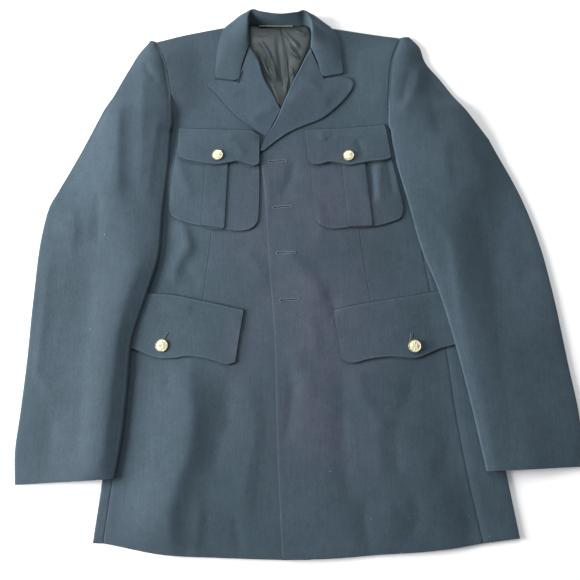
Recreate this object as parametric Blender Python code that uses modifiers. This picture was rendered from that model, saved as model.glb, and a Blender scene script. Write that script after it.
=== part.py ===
"""Men's dress uniform jacket, laid flat on its back: fronts lapped, sleeves beside and over the body."""

import math

import bpy
import numpy as np

# Driving sizes, in millimetres
CLOTH = 2.0
LINING = 0.8
PATCH = 1.5
LAYER_GAP = 0.5
SEAM_GAP = 0.35
BACK_WRAP = 55.0
FRONT_UNDER_Z = CLOTH + LAYER_GAP
OVERLAP_RISE = CLOTH + LAYER_GAP
OVERLAP_RAMP = 30.0
BODY_TOP_Z = FRONT_UNDER_Z + CLOTH
SLEEVE_OVER_BODY_Z = BODY_TOP_Z + CLOTH + 2.5 * LAYER_GAP
SLEEVE_RAMP = 34.0
SLEEVE_BRIDGE = 80.0
SLEEVE_LOFT = 6.0
SLEEVE_SKEW = 1.35
SLEEVE_CURL = 3.0
LAPEL_LOFT = 3.0
CHEST_LOFT = 3.0
SKIRT_LOFT = 7.0
LOFT_REACH = 120.0
PAD_LOFT = 7.0
PAD_REACH = 62.0
BODY_ROWS = 21
BREAST_BUTTON = 16.0
HIP_BUTTON = 18.0

# Body outlines: x and y in millimetres, from the hem up
SIDE_FOLD_RIGHT = ((-249, 22), (-240, 104), (-227, 238), (-215, 307), (-197, 404), (-200, 455), (-224, 508),
                   (-240, 535))
SIDE_FOLD_LEFT = ((323, 28), (309, 114), (286, 240), (265, 310), (237, 404), (236, 455), (252, 510), (268, 537))
FRONT_SEAM_RIGHT = ((-235, 22), (-226, 104), (-213, 238), (-201, 307), (-184, 404), (-187, 455), (-209, 508),
                    (-222, 530))
FRONT_SEAM_LEFT = ((273, 22), (256, 110), (243, 196), (233, 283), (213, 374), (205, 433), (212, 490), (232, 530))
ARMHOLE_LOWER_RIGHT = ((-222, 530), (-202, 560), (-175, 590), (-161, 612))
ARMHOLE_LOWER_LEFT = ((232, 530), (208, 562), (178, 592), (163, 612))
ARMHOLE_UPPER_RIGHT = ((-161, 612), (-160, 642), (-165, 678), (-172.5, 715), (-187.5, 750))
ARMHOLE_UPPER_LEFT = ((163, 612), (161, 644), (162, 678), (167, 717), (181.5, 757))
ARMHOLE_ROWS = 9
SHOULDER_RIGHT = ((-187.5, 750), (-152.5, 760), (-114.5, 768.5), (-84.5, 774.5), (-55, 780))
SHOULDER_LEFT = ((55, 777.5), (80, 773), (121.5, 766), (155.5, 760.5), (181.5, 757))
HEM_RIGHT = ((-235, 22), (-153, 8), (-78, 4), (2, 2), (43, 2))
HEM_LEFT = ((4, 1), (75, 3), (128, 7), (201, 12), (242, 17), (273, 22))
EDGE_RIGHT = ((43, 1), (31, 301), (20, 502.5), (14, 576), (8, 609.5), (-2, 634.5))
NECK_RIGHT = ((-2, 634.5), (-15, 659.5), (-28, 687), (-40, 721.5), (-51, 743.5), (-52.5, 762.5), (-55, 780))
EDGE_LEFT = ((4, 1), (-3, 149), (-8, 308), (-16, 407), (-22, 516), (-25, 553), (-24.5, 575))
NECK_LEFT = ((-24.5, 575), (-15, 594), (-2, 618.5), (10, 646.5), (22, 676), (35, 703), (46.5, 728.5), (51.5, 750.5),
             (55, 777.5))
LAP_EDGE = ((2, 43), (300, 31), (500, 20), (576, 14), (609, 8), (634, -2), (662, -24))
BACK_SEAM = ((33, 2), (30, 110), (22, 300), (15, 450), (4, 620), (-1, 779))

# Sleeve outlines, from the cuff up; the inner edge goes on as the upper armhole seam
SLEEVE_RIGHT_OUTER = ((-359, 97.5), (-362, 140), (-358.5, 190), (-354, 260.5), (-350.5, 355), (-343, 456.5),
                      (-339, 478), (-335, 492.5), (-327, 508), (-312, 537), (-292.5, 575))
HEAD_RIGHT = ((-292.5, 575), (-252.5, 657.5), (-228, 706.5), (-211, 735.5), (-197.5, 753.5))
SLEEVE_RIGHT_INNER = ((-222, 106), (-215, 156), (-209, 242), (-207, 288), (-187, 362), (-174, 408), (-169, 482),
                      (-162, 573), (-161.5, 612))
SLEEVE_LEFT_OUTER = ((418, 122), (413.5, 201), (406, 250.5), (388, 372), (377.5, 425), (354, 500.5), (309.5, 593))
HEAD_LEFT = ((309.5, 593), (283.5, 629), (241, 689.5), (218, 721.5), (212, 742), (197.5, 759))
SLEEVE_LEFT_INNER = ((281, 116), (262, 216), (247, 284), (224, 369), (204, 423), (188, 489), (167, 578),
                     (163.5, 612))

# Lapels: the roll line and the outer edge, from the bottom up, then the top edge from roll to tip
LAPEL_RIGHT_ROLL = ((1.5, 638.5), (-9, 660.5), (-23.5, 688), (-35.5, 724.5), (-46, 740.5))
LAPEL_RIGHT_OUTER = ((-23, 597), (-43, 611), (-65, 628.5), (-80, 644.5), (-96.5, 665.5), (-107, 675.5), (-110.5, 681),
                     (-105.5, 685.5))
LAPEL_RIGHT_TOP = ((-46, 740.5), (-63, 682), (-80, 685), (-95, 686.5), (-105.5, 685.5))
LAPEL_LEFT_ROLL = ((-28.5, 578), (-20.5, 594), (-7, 618.5), (5, 647.5), (17, 677), (30, 704), (41, 727.5),
                   (45.5, 735.5))
LAPEL_LEFT_OUTER = ((-24.5, 576), (-2, 592), (14, 602), (35, 612), (60.5, 623.5), (80.5, 639.5), (99.5, 660),
                    (107.5, 672), (110, 681.5), (105.5, 688.5))
LAPEL_LEFT_TOP = ((45.5, 735.5), (65.5, 688.5), (80, 690.5), (95, 691.5), (105.5, 688.5))
NOTCH_SHARE = 0.62

# Collar stations: outer edge, notch or middle, fold and neck edge; each column pair is x, y and then z
COLLAR_STATIONS = (
    ((-98, 690, 7.2), (-65, 685.5, 7.6), (-46.5, 741.5, 10), (-46.5, 742, 3.2)),
    ((-97, 712, 7.2), (-72, 731, 9.0), (-47.5, 755, 13), (-48, 754, 3.4)),
    ((-94, 741, 7.6), (-71, 755, 11.0), (-47.5, 771, 18), (-48.5, 765, 3.8)),
    ((-88, 765.5, 8.6), (-69, 774.5, 14.0), (-47, 784, 24), (-48, 776, 4.4)),
    ((-76, 781, 5.0), (-60, 790, 14.0), (-41, 793, 27.5), (-43, 779, 4.8)),
    ((-42, 793.5, 1.2), (-38, 795, 14.0), (-28, 789, 28), (-30, 778, 4.6)),
    ((-1, 789, 0.6), (-1, 790, 14.0), (-1, 785, 28), (-1, 776.5, 4.4)),
    ((38, 791.5, 1.2), (34, 794, 14.0), (24, 787.5, 28), (27, 777, 4.6)),
    ((71, 779, 5.0), (54.5, 788, 14.0), (36, 791, 27.5), (38, 778, 4.8)),
    ((82, 766, 8.6), (64, 772, 14.0), (45, 780, 24), (45.5, 773, 4.4)),
    ((91, 745.5, 7.6), (69, 756, 11.0), (47.5, 766.5, 18), (48, 761, 3.8)),
    ((94, 718, 7.2), (71, 733, 9.0), (47, 752, 13), (47, 751, 3.4)),
    ((96, 697, 7.2), (65.5, 691.5, 7.6), (46.5, 737.5, 10), (46.5, 738, 3.2)),
)
COLLAR_ROWS = 31

# Lining in the neck: side edge and the seam edge, from the bottom up
LINING_RIGHT_SIDE = ((1.5, 644.5), (-8, 661.5), (-21.5, 689), (-33.5, 724.5), (-44, 743.5), (-45.5, 762.5),
                     (-45.5, 778))
LINING_RIGHT_LOWER = ((4.5, 645.5), (10, 659.5), (15.4, 677))
LINING_SEAM = ((15.8, 678), (12.5, 716), (6.5, 752), (0, 778))
LINING_LEFT_SIDE = ((17.5, 680), (28, 705), (37, 727.5), (44.5, 750.5), (44.5, 768), (41, 778))

# Pockets and flaps: corner tables, in millimetres
BREAST_POCKET_RIGHT = {"left": ((-160.5, 489), (-158.5, 514), (-151.5, 588.5)),
                       "right": ((-30.5, 476.5), (-29.5, 508), (-30.5, 588.5)),
                       "bottom": ((-160.5, 489), (-156.5, 475.5), (-139.5, 465.5), (-115, 459.5), (-97, 454.5),
                                  (-79, 453.5), (-55.5, 451.5), (-40.5, 455.5), (-32.5, 464.5), (-30.5, 476.5))}
BREAST_POCKET_LEFT = {"left": ((49.5, 480.5), (47.5, 506), (41, 588.5)),
                      "right": ((179.5, 486.5), (173.5, 518), (159, 588.5)),
                      "bottom": ((49.5, 480.5), (53.5, 464.5), (68.5, 455.5), (98.5, 456.5), (136, 458.5),
                                 (161, 465.5), (175.5, 472.5), (179.5, 486.5))}
PLEAT_RIGHT = {"left": ((-113.5, 460), (-107, 585.5)), "right": ((-79, 454.5), (-74, 585.5))}
PLEAT_LEFT = {"left": ((97.5, 457.5), (87.5, 585.5)), "right": ((134.5, 459.5), (122, 585.5))}
BREAST_FLAP_RIGHT = {"top": ((-150.5, 611), (-119, 608.5), (-89, 607.5), (-58, 607), (-43, 606), (-29.5, 597)),
                     "bottom": ((-149.5, 563.5), (-142.5, 559), (-127, 555), (-109, 551.5), (-93, 550), (-75, 553),
                                (-60.5, 555.5), (-48.5, 551.5), (-36.5, 548.5), (-29.5, 552.5))}
BREAST_FLAP_LEFT = {"top": ((34, 606), (63.5, 608.5), (92.5, 610), (125, 613.5), (156, 616.5)),
                    "bottom": ((41, 556.5), (47.5, 550.5), (58.5, 550.5), (72.5, 554.5), (84.5, 553), (100.5, 550),
                               (118, 553), (133, 556), (151, 557.5), (163.5, 561.5))}
HIP_FLAP_RIGHT = {"top": ((-198, 362), (-181, 362), (-157, 360.5), (-110.5, 351), (-49.5, 337)),
                  "bottom": ((-208.5, 282.5), (-201, 280.5), (-187, 274.5), (-167, 268), (-148, 268), (-126, 270.5),
                             (-105.5, 267.5), (-88.5, 263.5), (-72.5, 259), (-60.5, 262.5))}
HIP_FLAP_LEFT = {"top": ((73.5, 337), (94.5, 342), (129.5, 349), (172, 356), (213, 364), (244.5, 370)),
                 "bottom": ((85.5, 266.5), (98.5, 261.5), (124.5, 266.5), (154, 270), (173, 269), (191, 268.5),
                            (207, 274.5), (223, 281.5), (241.5, 286.5), (258.5, 291.5))}

# Main soft folds: start x, start y, end x, end y, bow, half width and height; a negative height is a trough
BODY_FOLDS = ((-135, 215, -140, 10, 10, 30, 2.4), (-88, 215, -84, 10, 0, 22, -1.4), (140, 215, 158, 10, 0, 26, 2.0),
              (190, 215, 218, 60, 0, 24, 1.6))
SLEEVE_FOLDS = {"right": ((-209, 695, -208, 507, 0, 16, 3.0), (-232, 632, -228, 500, 0, 15, -2.6),
                          (-196, 385, -235, 104, 5, 15, 3.2)),
                "left": ((176, 625, 217, 712, 8, 10, 3.6), (206, 640, 192, 712, 0, 14, -4.0),
                         (209, 538, 290, 200, -6, 18, 2.6), (255, 500, 305, 200, -6, 26, -2.4))}

# Buttons: name, flap, centre and diameter
BUTTONS = (("breast_button_right", -90.5, 565, BREAST_BUTTON, "breast"),
           ("breast_button_left", 100.5, 564.5, BREAST_BUTTON, "breast"),
           ("hip_button_right", -164, 286.5, HIP_BUTTON, "hip"), ("hip_button_left", 188.5, 285.5, HIP_BUTTON, "hip"))

# Cloth, lining and metal: base colour, roughness and metallic value
SURFACES = {"wool": ((0.065, 0.095, 0.135, 1.0), 0.9, 0.0), "satin": ((0.045, 0.062, 0.062, 1.0), 0.35, 0.0),
            "brass": ((0.78, 0.66, 0.42, 1.0), 0.35, 1.0), "tape": ((0.62, 0.55, 0.38, 1.0), 0.7, 0.0)}


def ease(low, high, value):
    """0 up to low, 1 from high, and a smooth rise between."""
    share = np.clip((value - low) / (high - low), 0.0, 1.0)
    return share * share * (3.0 - 2.0 * share)


def along(points, shares, straight=False):
    """Points at these shares of the length of a table's curve."""
    points = np.array(points, float)
    steps = np.linalg.norm(np.diff(points, axis=0), axis=1)
    knots = np.concatenate([[0.0], np.cumsum(steps)]) / steps.sum()
    shares = np.asarray(shares, float)
    cell = np.clip(np.searchsorted(knots, shares, side="right") - 1, 0, len(steps) - 1)
    span = knots[cell + 1] - knots[cell]
    u = ((shares - knots[cell]) / span)[:, None]
    first = points[cell]
    last = points[cell + 1]
    if straight:
        return first + (last - first) * u
    slopes = np.gradient(points, knots, axis=0)
    m0 = slopes[cell] * span[:, None]
    m1 = slopes[cell + 1] * span[:, None]
    return ((2 * u**3 - 3 * u**2 + 1) * first + (u**3 - 2 * u**2 + u) * m0
            + (3 * u**2 - 2 * u**3) * last + (u**3 - u**2) * m1)


def patch(left, right, bottom, top):
    """Coons patch: rows of points between four edges that share their corners."""
    t = np.linspace(0, 1, len(left))[:, None, None]
    s = np.linspace(0, 1, len(bottom))[None, :, None]
    ruled = (1 - s) * left[:, None] + s * right[:, None]
    lofted = (1 - t) * bottom[None] + t * top[None]
    corners = ((1 - s) * (1 - t) * bottom[0] + s * (1 - t) * bottom[-1]
               + (1 - s) * t * top[0] + s * t * top[-1])
    return ruled + lofted - corners


def surface(name):
    """The Principled material of one kind of cloth or metal."""
    colour, roughness, metallic = SURFACES[name]
    made = bpy.data.materials.new(name)
    made.use_nodes = True
    shader = made.node_tree.nodes["Principled BSDF"]
    shader.inputs["Base Color"].default_value = colour
    shader.inputs["Roughness"].default_value = roughness
    shader.inputs["Metallic"].default_value = metallic
    made.diffuse_color = colour
    return made


def sheet(name, grid, thickness, material, outside):
    """A grid set to these points and made solid: outwards from its underside, or inwards from its outside."""
    rows, columns = grid.shape[:2]
    bpy.ops.mesh.primitive_grid_add(x_subdivisions=columns - 1, y_subdivisions=rows - 1, size=2)
    made = bpy.context.object
    made.name = name
    for vertex in made.data.vertices:
        column = round((vertex.co.x + 1) / 2 * (columns - 1))
        row = round((vertex.co.y + 1) / 2 * (rows - 1))
        vertex.co = grid[row, column] / 1000
    shell = made.modifiers.new("Cloth", "SOLIDIFY")
    shell.thickness = thickness / 1000
    shell.offset = -1.0 if outside else 1.0
    made.data.materials.append(material)
    return made


def folds(x, y, table):
    """Soft troughs and ridges, each fading out at its ends."""
    total = np.zeros_like(x)
    for x0, y0, x1, y1, bow, half_width, height in table:
        run = math.hypot(x1 - x0, y1 - y0)
        ux = (x1 - x0) / run
        uy = (y1 - y0) / run
        share = ((x - x0) * ux + (y - y0) * uy) / run
        inside = np.clip(share, 0, 1)
        beside = (y - y0) * ux - (x - x0) * uy - 4 * bow * inside * (1 - inside)
        reach = ease(-0.12, 0.3, share) * (1 - ease(0.7, 1.12, share))
        total += height * reach * np.exp(-(beside / half_width) ** 2)
    return total


def armhole_distance(x, y):
    """Distance across from the side seams and armholes of the fronts, positive inside."""
    right = np.array(FRONT_SEAM_RIGHT[:-1] + ARMHOLE_LOWER_RIGHT + ARMHOLE_UPPER_RIGHT[1:], float)
    left = np.array(FRONT_SEAM_LEFT[:-1] + ARMHOLE_LOWER_LEFT + ARMHOLE_UPPER_LEFT[1:], float)
    return np.minimum(x - np.interp(y, right[:, 1], right[:, 0]), np.interp(y, left[:, 1], left[:, 0]) - x)


def below_shoulder(x, y):
    """Distance below the shoulder seams."""
    line = np.array(SHOULDER_RIGHT + SHOULDER_LEFT, float)
    return np.interp(x, line[:, 0], line[:, 1]) - y


def pad_rise(x, y):
    """Rise of the shoulder pads, highest at the armholes."""
    near = 1 - ease(0, PAD_REACH, np.abs(armhole_distance(x, y)))
    return PAD_LOFT * near * ease(600, 690, y) * ease(0, 34, below_shoulder(x, y))


def body_loft(x, y):
    """Loose cloth over the inner layers: a low dome below the waist, and the shoulder pads above."""
    level = CHEST_LOFT + (SKIRT_LOFT - CHEST_LOFT) * (1 - ease(300, 470, y))
    ends = ease(0, 70, y) * ease(0, 60, below_shoulder(x, y))
    dome = ease(0, LOFT_REACH, armhole_distance(x, y)) * level
    creases = ease(2, 60, armhole_distance(x, y)) * folds(x, y, BODY_FOLDS)
    return np.maximum(ends * (dome + creases), 0.0) + pad_rise(x, y)


def lap_rise(x, y):
    """How far the overlapping front is lifted by the front under it."""
    edge = np.interp(y, [row[0] for row in LAP_EDGE], [row[1] for row in LAP_EDGE])
    return OVERLAP_RISE * (1 - ease(edge + 2, edge + 2 + OVERLAP_RAMP, x))


def body_under(side, x, y):
    """Underside height of a front panel."""
    height = FRONT_UNDER_Z + body_loft(x, y)
    return height + lap_rise(x, y) if side == "left" else height


def body_top(side, x, y):
    """Top height of a front panel."""
    return body_under(side, x, y) + CLOTH


def edge_distance(outline, x, y):
    """Distance outside a body outline that runs up the garment, across the x direction."""
    table = np.array(outline, float)
    return np.abs(x) - np.abs(np.interp(y, table[:, 1], table[:, 0]))


def sleeve_under(side, x, y, ramp=SLEEVE_RAMP):
    """Underside height of a sleeve: over the body, then down to the floor outside it."""
    fold = SIDE_FOLD_RIGHT if side == "right" else SIDE_FOLD_LEFT
    armhole = ARMHOLE_LOWER_LEFT + ARMHOLE_UPPER_LEFT[1:]
    if side == "right":
        armhole = ARMHOLE_LOWER_RIGHT + ARMHOLE_UPPER_RIGHT[1:]
    lower = edge_distance(fold, x, np.minimum(y, 535))
    upper = edge_distance(armhole, x, np.maximum(y, 530))
    blend = ease(520, 560, y)
    outside = lower * (1 - blend) + np.minimum(lower + 12, upper) * blend
    rise = 1 - ease(4, 4 + ramp, outside)
    over_seam = 1 - ease(610, 660, y)
    return SLEEVE_OVER_BODY_Z * rise * over_seam


def heights(grid, height):
    """The plan grid with a height at each point."""
    return np.dstack([grid, height])


def body_panels(materials):
    """Back, side and front panels."""
    for side, fold, seam, armhole, shoulder in (
        ("right", SIDE_FOLD_RIGHT, FRONT_SEAM_RIGHT, ARMHOLE_UPPER_RIGHT, SHOULDER_RIGHT),
        ("left", SIDE_FOLD_LEFT, FRONT_SEAM_LEFT, ARMHOLE_UPPER_LEFT, SHOULDER_LEFT),
    ):
        sign = -1 if side == "right" else 1
        inset = np.array((-sign * BACK_WRAP, 0.0))
        pit = np.array(fold[-1], float) + (-sign * 38, 14)
        back_side = tuple(np.array(p, float) + inset for p in fold[:-1]) + (pit,)
        t = np.linspace(0, 1, BODY_ROWS)
        back_line = along(back_side, t)
        lower = along((tuple(pit), armhole[0]), np.linspace(0, 1, 4), True)[1:]
        upper = along(armhole, np.linspace(0, 1, ARMHOLE_ROWS))[1:]
        outer = np.vstack([back_line, lower, upper])
        seam_side = along(BACK_SEAM, np.linspace(0, 1, len(outer))) + (sign * SEAM_GAP / 2, 0)
        line = shoulder if side == "right" else shoulder[::-1]
        top = along(line + ((0, 779),), np.linspace(0, 1, 5))
        top[0] = outer[-1]
        top[-1] = seam_side[-1]
        bottom = np.linspace(outer[0], seam_side[0], 5)
        bottom[:, 1] -= 4 * np.sin(np.linspace(0, np.pi, 5))
        grid = patch(outer, seam_side, bottom, top)
        if side == "left":
            grid = grid[:, ::-1]
        back = heights(grid, np.zeros(grid.shape[:2]))
        sheet("back_" + side, back, CLOTH, materials["wool"], False)

        # Side panel, wrapped round the fold
        fold_line = along(fold, t)
        seam_line = along(seam, t)
        radius = BODY_TOP_Z / 2
        stations = []
        seam_x = seam_line + (sign * SEAM_GAP, 0)
        back_x = back_line + (sign * SEAM_GAP, 0)
        stations.append(heights(seam_x[:, None], np.full((BODY_ROWS, 1), BODY_TOP_Z)))
        middle = (seam_x + fold_line - (sign * radius, 0)) / 2
        stations.append(heights(middle[:, None], np.full((BODY_ROWS, 1), BODY_TOP_Z)))
        for turn in np.linspace(0, math.pi, 6):
            point = fold_line + (sign * radius * (math.sin(turn) - 1), 0)
            stations.append(heights(point[:, None], np.full((BODY_ROWS, 1), radius + radius * math.cos(turn))))
        stations.append(heights(back_x[:, None], np.zeros((BODY_ROWS, 1))))
        wrap = np.concatenate(stations, axis=1)
        if side == "right":
            wrap = wrap[:, ::-1]
        sheet("side_" + side, wrap, CLOTH, materials["wool"], True)

    # Fronts
    for side, seam, armhole, shoulder, edge, neck, hem in (
        ("right", FRONT_SEAM_RIGHT, (ARMHOLE_LOWER_RIGHT, ARMHOLE_UPPER_RIGHT), SHOULDER_RIGHT, EDGE_RIGHT,
         NECK_RIGHT, HEM_RIGHT),
        ("left", FRONT_SEAM_LEFT, (ARMHOLE_LOWER_LEFT, ARMHOLE_UPPER_LEFT), SHOULDER_LEFT, EDGE_LEFT, NECK_LEFT,
         HEM_LEFT),
    ):
        outer = np.vstack([along(seam, np.linspace(0, 1, BODY_ROWS)), along(armhole[0], np.linspace(0, 1, 5))[1:],
                           along(armhole[1], np.linspace(0, 1, ARMHOLE_ROWS))[1:]])
        inner = np.vstack([along(edge, np.linspace(0, 1, BODY_ROWS)),
                           along(neck, np.linspace(0, 1, ARMHOLE_ROWS + 4))[1:]])
        columns = np.linspace(0, 1, 15)
        bottom = along(hem, columns)
        top = along(shoulder, columns)
        if side == "right":
            grid = patch(outer, inner, bottom, top)
        else:
            columns = np.array((0, 0.05, 0.1, 0.15, 0.2, 0.26, 0.33, 0.4, 0.48, 0.56, 0.64, 0.73, 0.82, 0.91, 1.0))
            grid = patch(inner, outer, bottom, top)
            fine = np.empty_like(grid)
            for row in range(len(grid)):
                fine[row] = along(grid[row], columns)
            grid = fine
        height = body_under(side, grid[..., 0], grid[..., 1])
        sheet("front_" + side, heights(grid, height), CLOTH, materials["wool"], False)


def sleeves(materials):
    """Each sleeve as a flattened tube: a top sleeve curled over the folds and an under sleeve inside it."""
    for side, sign, outer, head, inner, armhole in (
        ("right", -1, SLEEVE_RIGHT_OUTER, HEAD_RIGHT, SLEEVE_RIGHT_INNER, ARMHOLE_UPPER_RIGHT),
        ("left", 1, SLEEVE_LEFT_OUTER, HEAD_LEFT, SLEEVE_LEFT_INNER, ARMHOLE_UPPER_LEFT),
    ):
        t = np.linspace(0, 1, 26)
        seam_points = along(armhole, np.linspace(0, 1, ARMHOLE_ROWS)) + (sign * (SEAM_GAP + 0.1), 0)
        outside = np.vstack([along(outer, t), along(head, np.linspace(0, 1, ARMHOLE_ROWS))[1:]])
        inside = np.vstack([along(inner, t)[:-1], seam_points])
        armhole_share = ease(610, 650, inside[:, 1])
        columns = np.array((0, 0, 0, 0.06, 0.14, 0.24, 0.35, 0.47, 0.59, 0.71, 0.82, 0.92, 1, 1, 1))
        plan = outside[:, None] + (inside - outside)[:, None] * columns[None, :, None]
        width = np.linalg.norm(inside - outside, axis=1)
        direction = (inside - outside) / width[:, None]
        curl = np.minimum(SLEEVE_CURL, width / 8)
        plan[:, 1] = outside + direction * (curl * 0.293)[:, None]
        plan[:, 2] = outside + direction * curl[:, None]
        plan[:, 3:12] = (outside + direction * curl[:, None])[:, None] + (
            (inside - outside - 2 * direction * curl[:, None])[:, None] * columns[3:12][None, :, None])
        plan[:, 12] = inside - direction * curl[:, None]
        plan[:, 13] = inside - direction * (curl * 0.293)[:, None]
        plan[:, 14] = inside
        under = sleeve_under(side, plan[..., 0], plan[..., 1], SLEEVE_BRIDGE)
        under[:, 0:3] = under[:, 2:3]
        under[:, 12:] = under[:, 12:13]
        span = np.clip(width / 60, 0.15, 1.0)[:, None]
        crown = np.sin(np.pi * columns**SLEEVE_SKEW)[None, :] ** 0.7 * SLEEVE_LOFT * span
        inner_part = ease(0, 0.14, columns) * (1 - ease(0.86, 1.0, columns))
        creases = folds(plan[..., 0], plan[..., 1], SLEEVE_FOLDS[side]) * inner_part[None, :] * span
        crown = np.maximum(crown + creases, 0.15 * crown)
        top = under + 2 * CLOTH + LAYER_GAP + crown + pad_rise(plan[..., 0], plan[..., 1])
        drop = np.array((1.0, 0.293, 0, 0, 0, 0, 0, 0, 0, 0, 0, 0, 0, 0.293, 1.0))
        fall = CLOTH + LAYER_GAP + CLOTH - 0.6
        seam_fall = np.where(columns[None, :] > 0.5, (1 - armhole_share)[:, None], 1.0)
        top = top - fall * drop[None, :] * seam_fall
        grid = heights(plan, top)
        if side == "left":
            grid = grid[:, ::-1]
        sheet("sleeve_top_" + side, grid, CLOTH, materials["wool"], True)

        inset = np.minimum(CLOTH + SEAM_GAP + 1.6, width * 0.42)
        a = outside + direction * inset[:, None]
        b = inside - direction * np.maximum(inset * (1 - armhole_share), np.minimum(0.9, width * 0.1))[:, None]
        shares = np.linspace(0, 1, 7)
        lower = a[:, None] + (b - a)[:, None] * shares[None, :, None]
        base = sleeve_under(side, lower[..., 0], lower[..., 1])
        lower_grid = heights(lower, base)
        if side == "left":
            lower_grid = lower_grid[:, ::-1]
        sheet("sleeve_under_" + side, lower_grid, CLOTH, materials["wool"], False)


def lapels(materials):
    """Lapels turned back over the fronts, each curled down at its roll line."""
    for side, roll, outer, top in (("right", LAPEL_RIGHT_ROLL, LAPEL_RIGHT_OUTER, LAPEL_RIGHT_TOP),
                                   ("left", LAPEL_LEFT_ROLL, LAPEL_LEFT_OUTER, LAPEL_LEFT_TOP)):
        t = np.linspace(0, 1, 15)
        columns = np.array((0.0, 0.13, 0.31, NOTCH_SHARE / 2 + 0.155, NOTCH_SHARE, 0.81, 1.0))
        inner_line = along(roll, t)
        outer_line = along(outer, t)
        corner = np.array(top[1], float)
        start = np.array(top[0], float)
        finish = np.array(top[-1], float)
        top_line = []
        for share in columns:
            if share <= NOTCH_SHARE:
                top_line.append(start + (corner - start) * share / NOTCH_SHARE)
            else:
                beyond = (share - NOTCH_SHARE) / (1 - NOTCH_SHARE)
                top_line.append(along(top[1:], [beyond])[0])
        top_line = np.array(top_line)
        bottom_line = inner_line[0] + (outer_line[0] - inner_line[0]) * columns[:, None]
        shares = columns[None, :, None]
        level = t[:, None, None]
        ruled = (1 - shares) * inner_line[:, None] + shares * outer_line[:, None]
        lofted = (1 - level) * bottom_line[None] + level * top_line[None]
        corners = ((1 - shares) * (1 - level) * bottom_line[0] + shares * (1 - level) * bottom_line[-1]
                   + (1 - shares) * level * top_line[0] + shares * level * top_line[-1])
        plan = ruled + lofted - corners
        base = body_top(side, plan[..., 0], plan[..., 1]) + LAYER_GAP + CLOTH
        width = np.linalg.norm(outer_line - inner_line, axis=1)
        loft = LAPEL_LOFT * np.clip(width / 60, 0, 1)[:, None] * (1 - ease(0, 0.85, columns))[None, :]
        height = base + loft
        across = plan[:, 1] - plan[:, 0]
        across = across / np.linalg.norm(across, axis=1)[:, None]
        curl = np.minimum(3.0, 0.7 * np.linalg.norm(plan[:, 1] - plan[:, 0], axis=1))[:, None]
        stations = [heights((plan[:, 0])[:, None], (body_under(side, plan[:, 0, 0], plan[:, 0, 1]) + 1.1)[:, None]),
                    heights((plan[:, 0] + across * curl * 0.06)[:, None], (height[:, 0] - 3.0)[:, None]),
                    heights((plan[:, 0] + across * curl * 0.35)[:, None], (height[:, 0] - 0.9)[:, None]),
                    heights((plan[:, 0] + across * curl)[:, None], height[:, 0][:, None])]
        grid = np.concatenate(stations + [heights(plan[:, 1:], height[:, 1:])], axis=1)
        if side == "right":
            grid = grid[:, ::-1]
        sheet("lapel_" + side, grid, CLOTH, materials["wool"], True)


def collar(materials):
    """One strip from notch to notch: the leaves and fall outside, the stand inside."""
    rows = []
    for edge, middle, fold, neck in COLLAR_STATIONS:
        edge, middle, fold, neck = (np.array(p, float) for p in (edge, middle, fold, neck))
        outward = (middle - fold) / np.linalg.norm(middle - fold)
        inward = (neck - fold) / np.linalg.norm(neck - fold)
        reach = min(4.5, 0.4 * np.linalg.norm(neck - fold))
        before = fold + outward * reach
        after = fold + inward * reach
        crown = (before + after) / 4 + fold / 2
        rows.append([edge, (edge + middle) / 2, middle, middle + (before - middle) * 0.5, before, crown, after,
                     (after + neck) / 2, neck])
    rows = np.array(rows)
    shares = np.linspace(0, 1, COLLAR_ROWS)
    knots = np.linspace(0, 1, len(rows))
    grid = np.empty((COLLAR_ROWS, rows.shape[1], 3))
    slopes = np.gradient(rows, knots, axis=0)
    cell = np.clip((shares * (len(rows) - 1)).astype(int), 0, len(rows) - 2)
    u = (shares * (len(rows) - 1) - cell)[:, None, None]
    span = 1 / (len(rows) - 1)
    grid = ((2 * u**3 - 3 * u**2 + 1) * rows[cell] + (u**3 - 2 * u**2 + u) * slopes[cell] * span
            + (3 * u**2 - 2 * u**3) * rows[cell + 1] + (u**3 - u**2) * slopes[cell + 1] * span)
    grid[..., 2] += body_loft(grid[..., 0], grid[..., 1]) * (1 - ease(10, 18, grid[..., 2]))
    sheet("collar", grid, CLOTH, materials["wool"], True)


def linings(materials):
    """The back lining that shows in the neck, in two halves with a centre seam, and the label's edge."""
    seam = along(LINING_SEAM, np.linspace(0, 1, 7))
    lower = along(LINING_RIGHT_LOWER, np.linspace(0, 1, 4))[:-1]
    for side, a, b in (("right", along(LINING_RIGHT_SIDE, np.linspace(0, 1, 10)),
                        np.vstack([lower, seam - (SEAM_GAP, 0)])),
                       ("left", seam, along(LINING_LEFT_SIDE, np.linspace(0, 1, 7)))):
        grid = patch(a, b, np.linspace(a[0], b[0], 4), np.linspace(a[-1], b[-1], 4))
        height = np.full(grid.shape[:2], CLOTH + LAYER_GAP)
        sheet("lining_" + side, heights(grid, height), LINING, materials["satin"], False)
    x = np.array((-32.0, 19.0))
    y = np.array((772.0, 775.2))
    plan = np.dstack(np.meshgrid(x, y))
    height = np.full((2, 2), CLOTH + LAYER_GAP + LINING + LAYER_GAP)
    sheet("neck_label", heights(plan, height), 0.6, materials["tape"], False)


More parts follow.
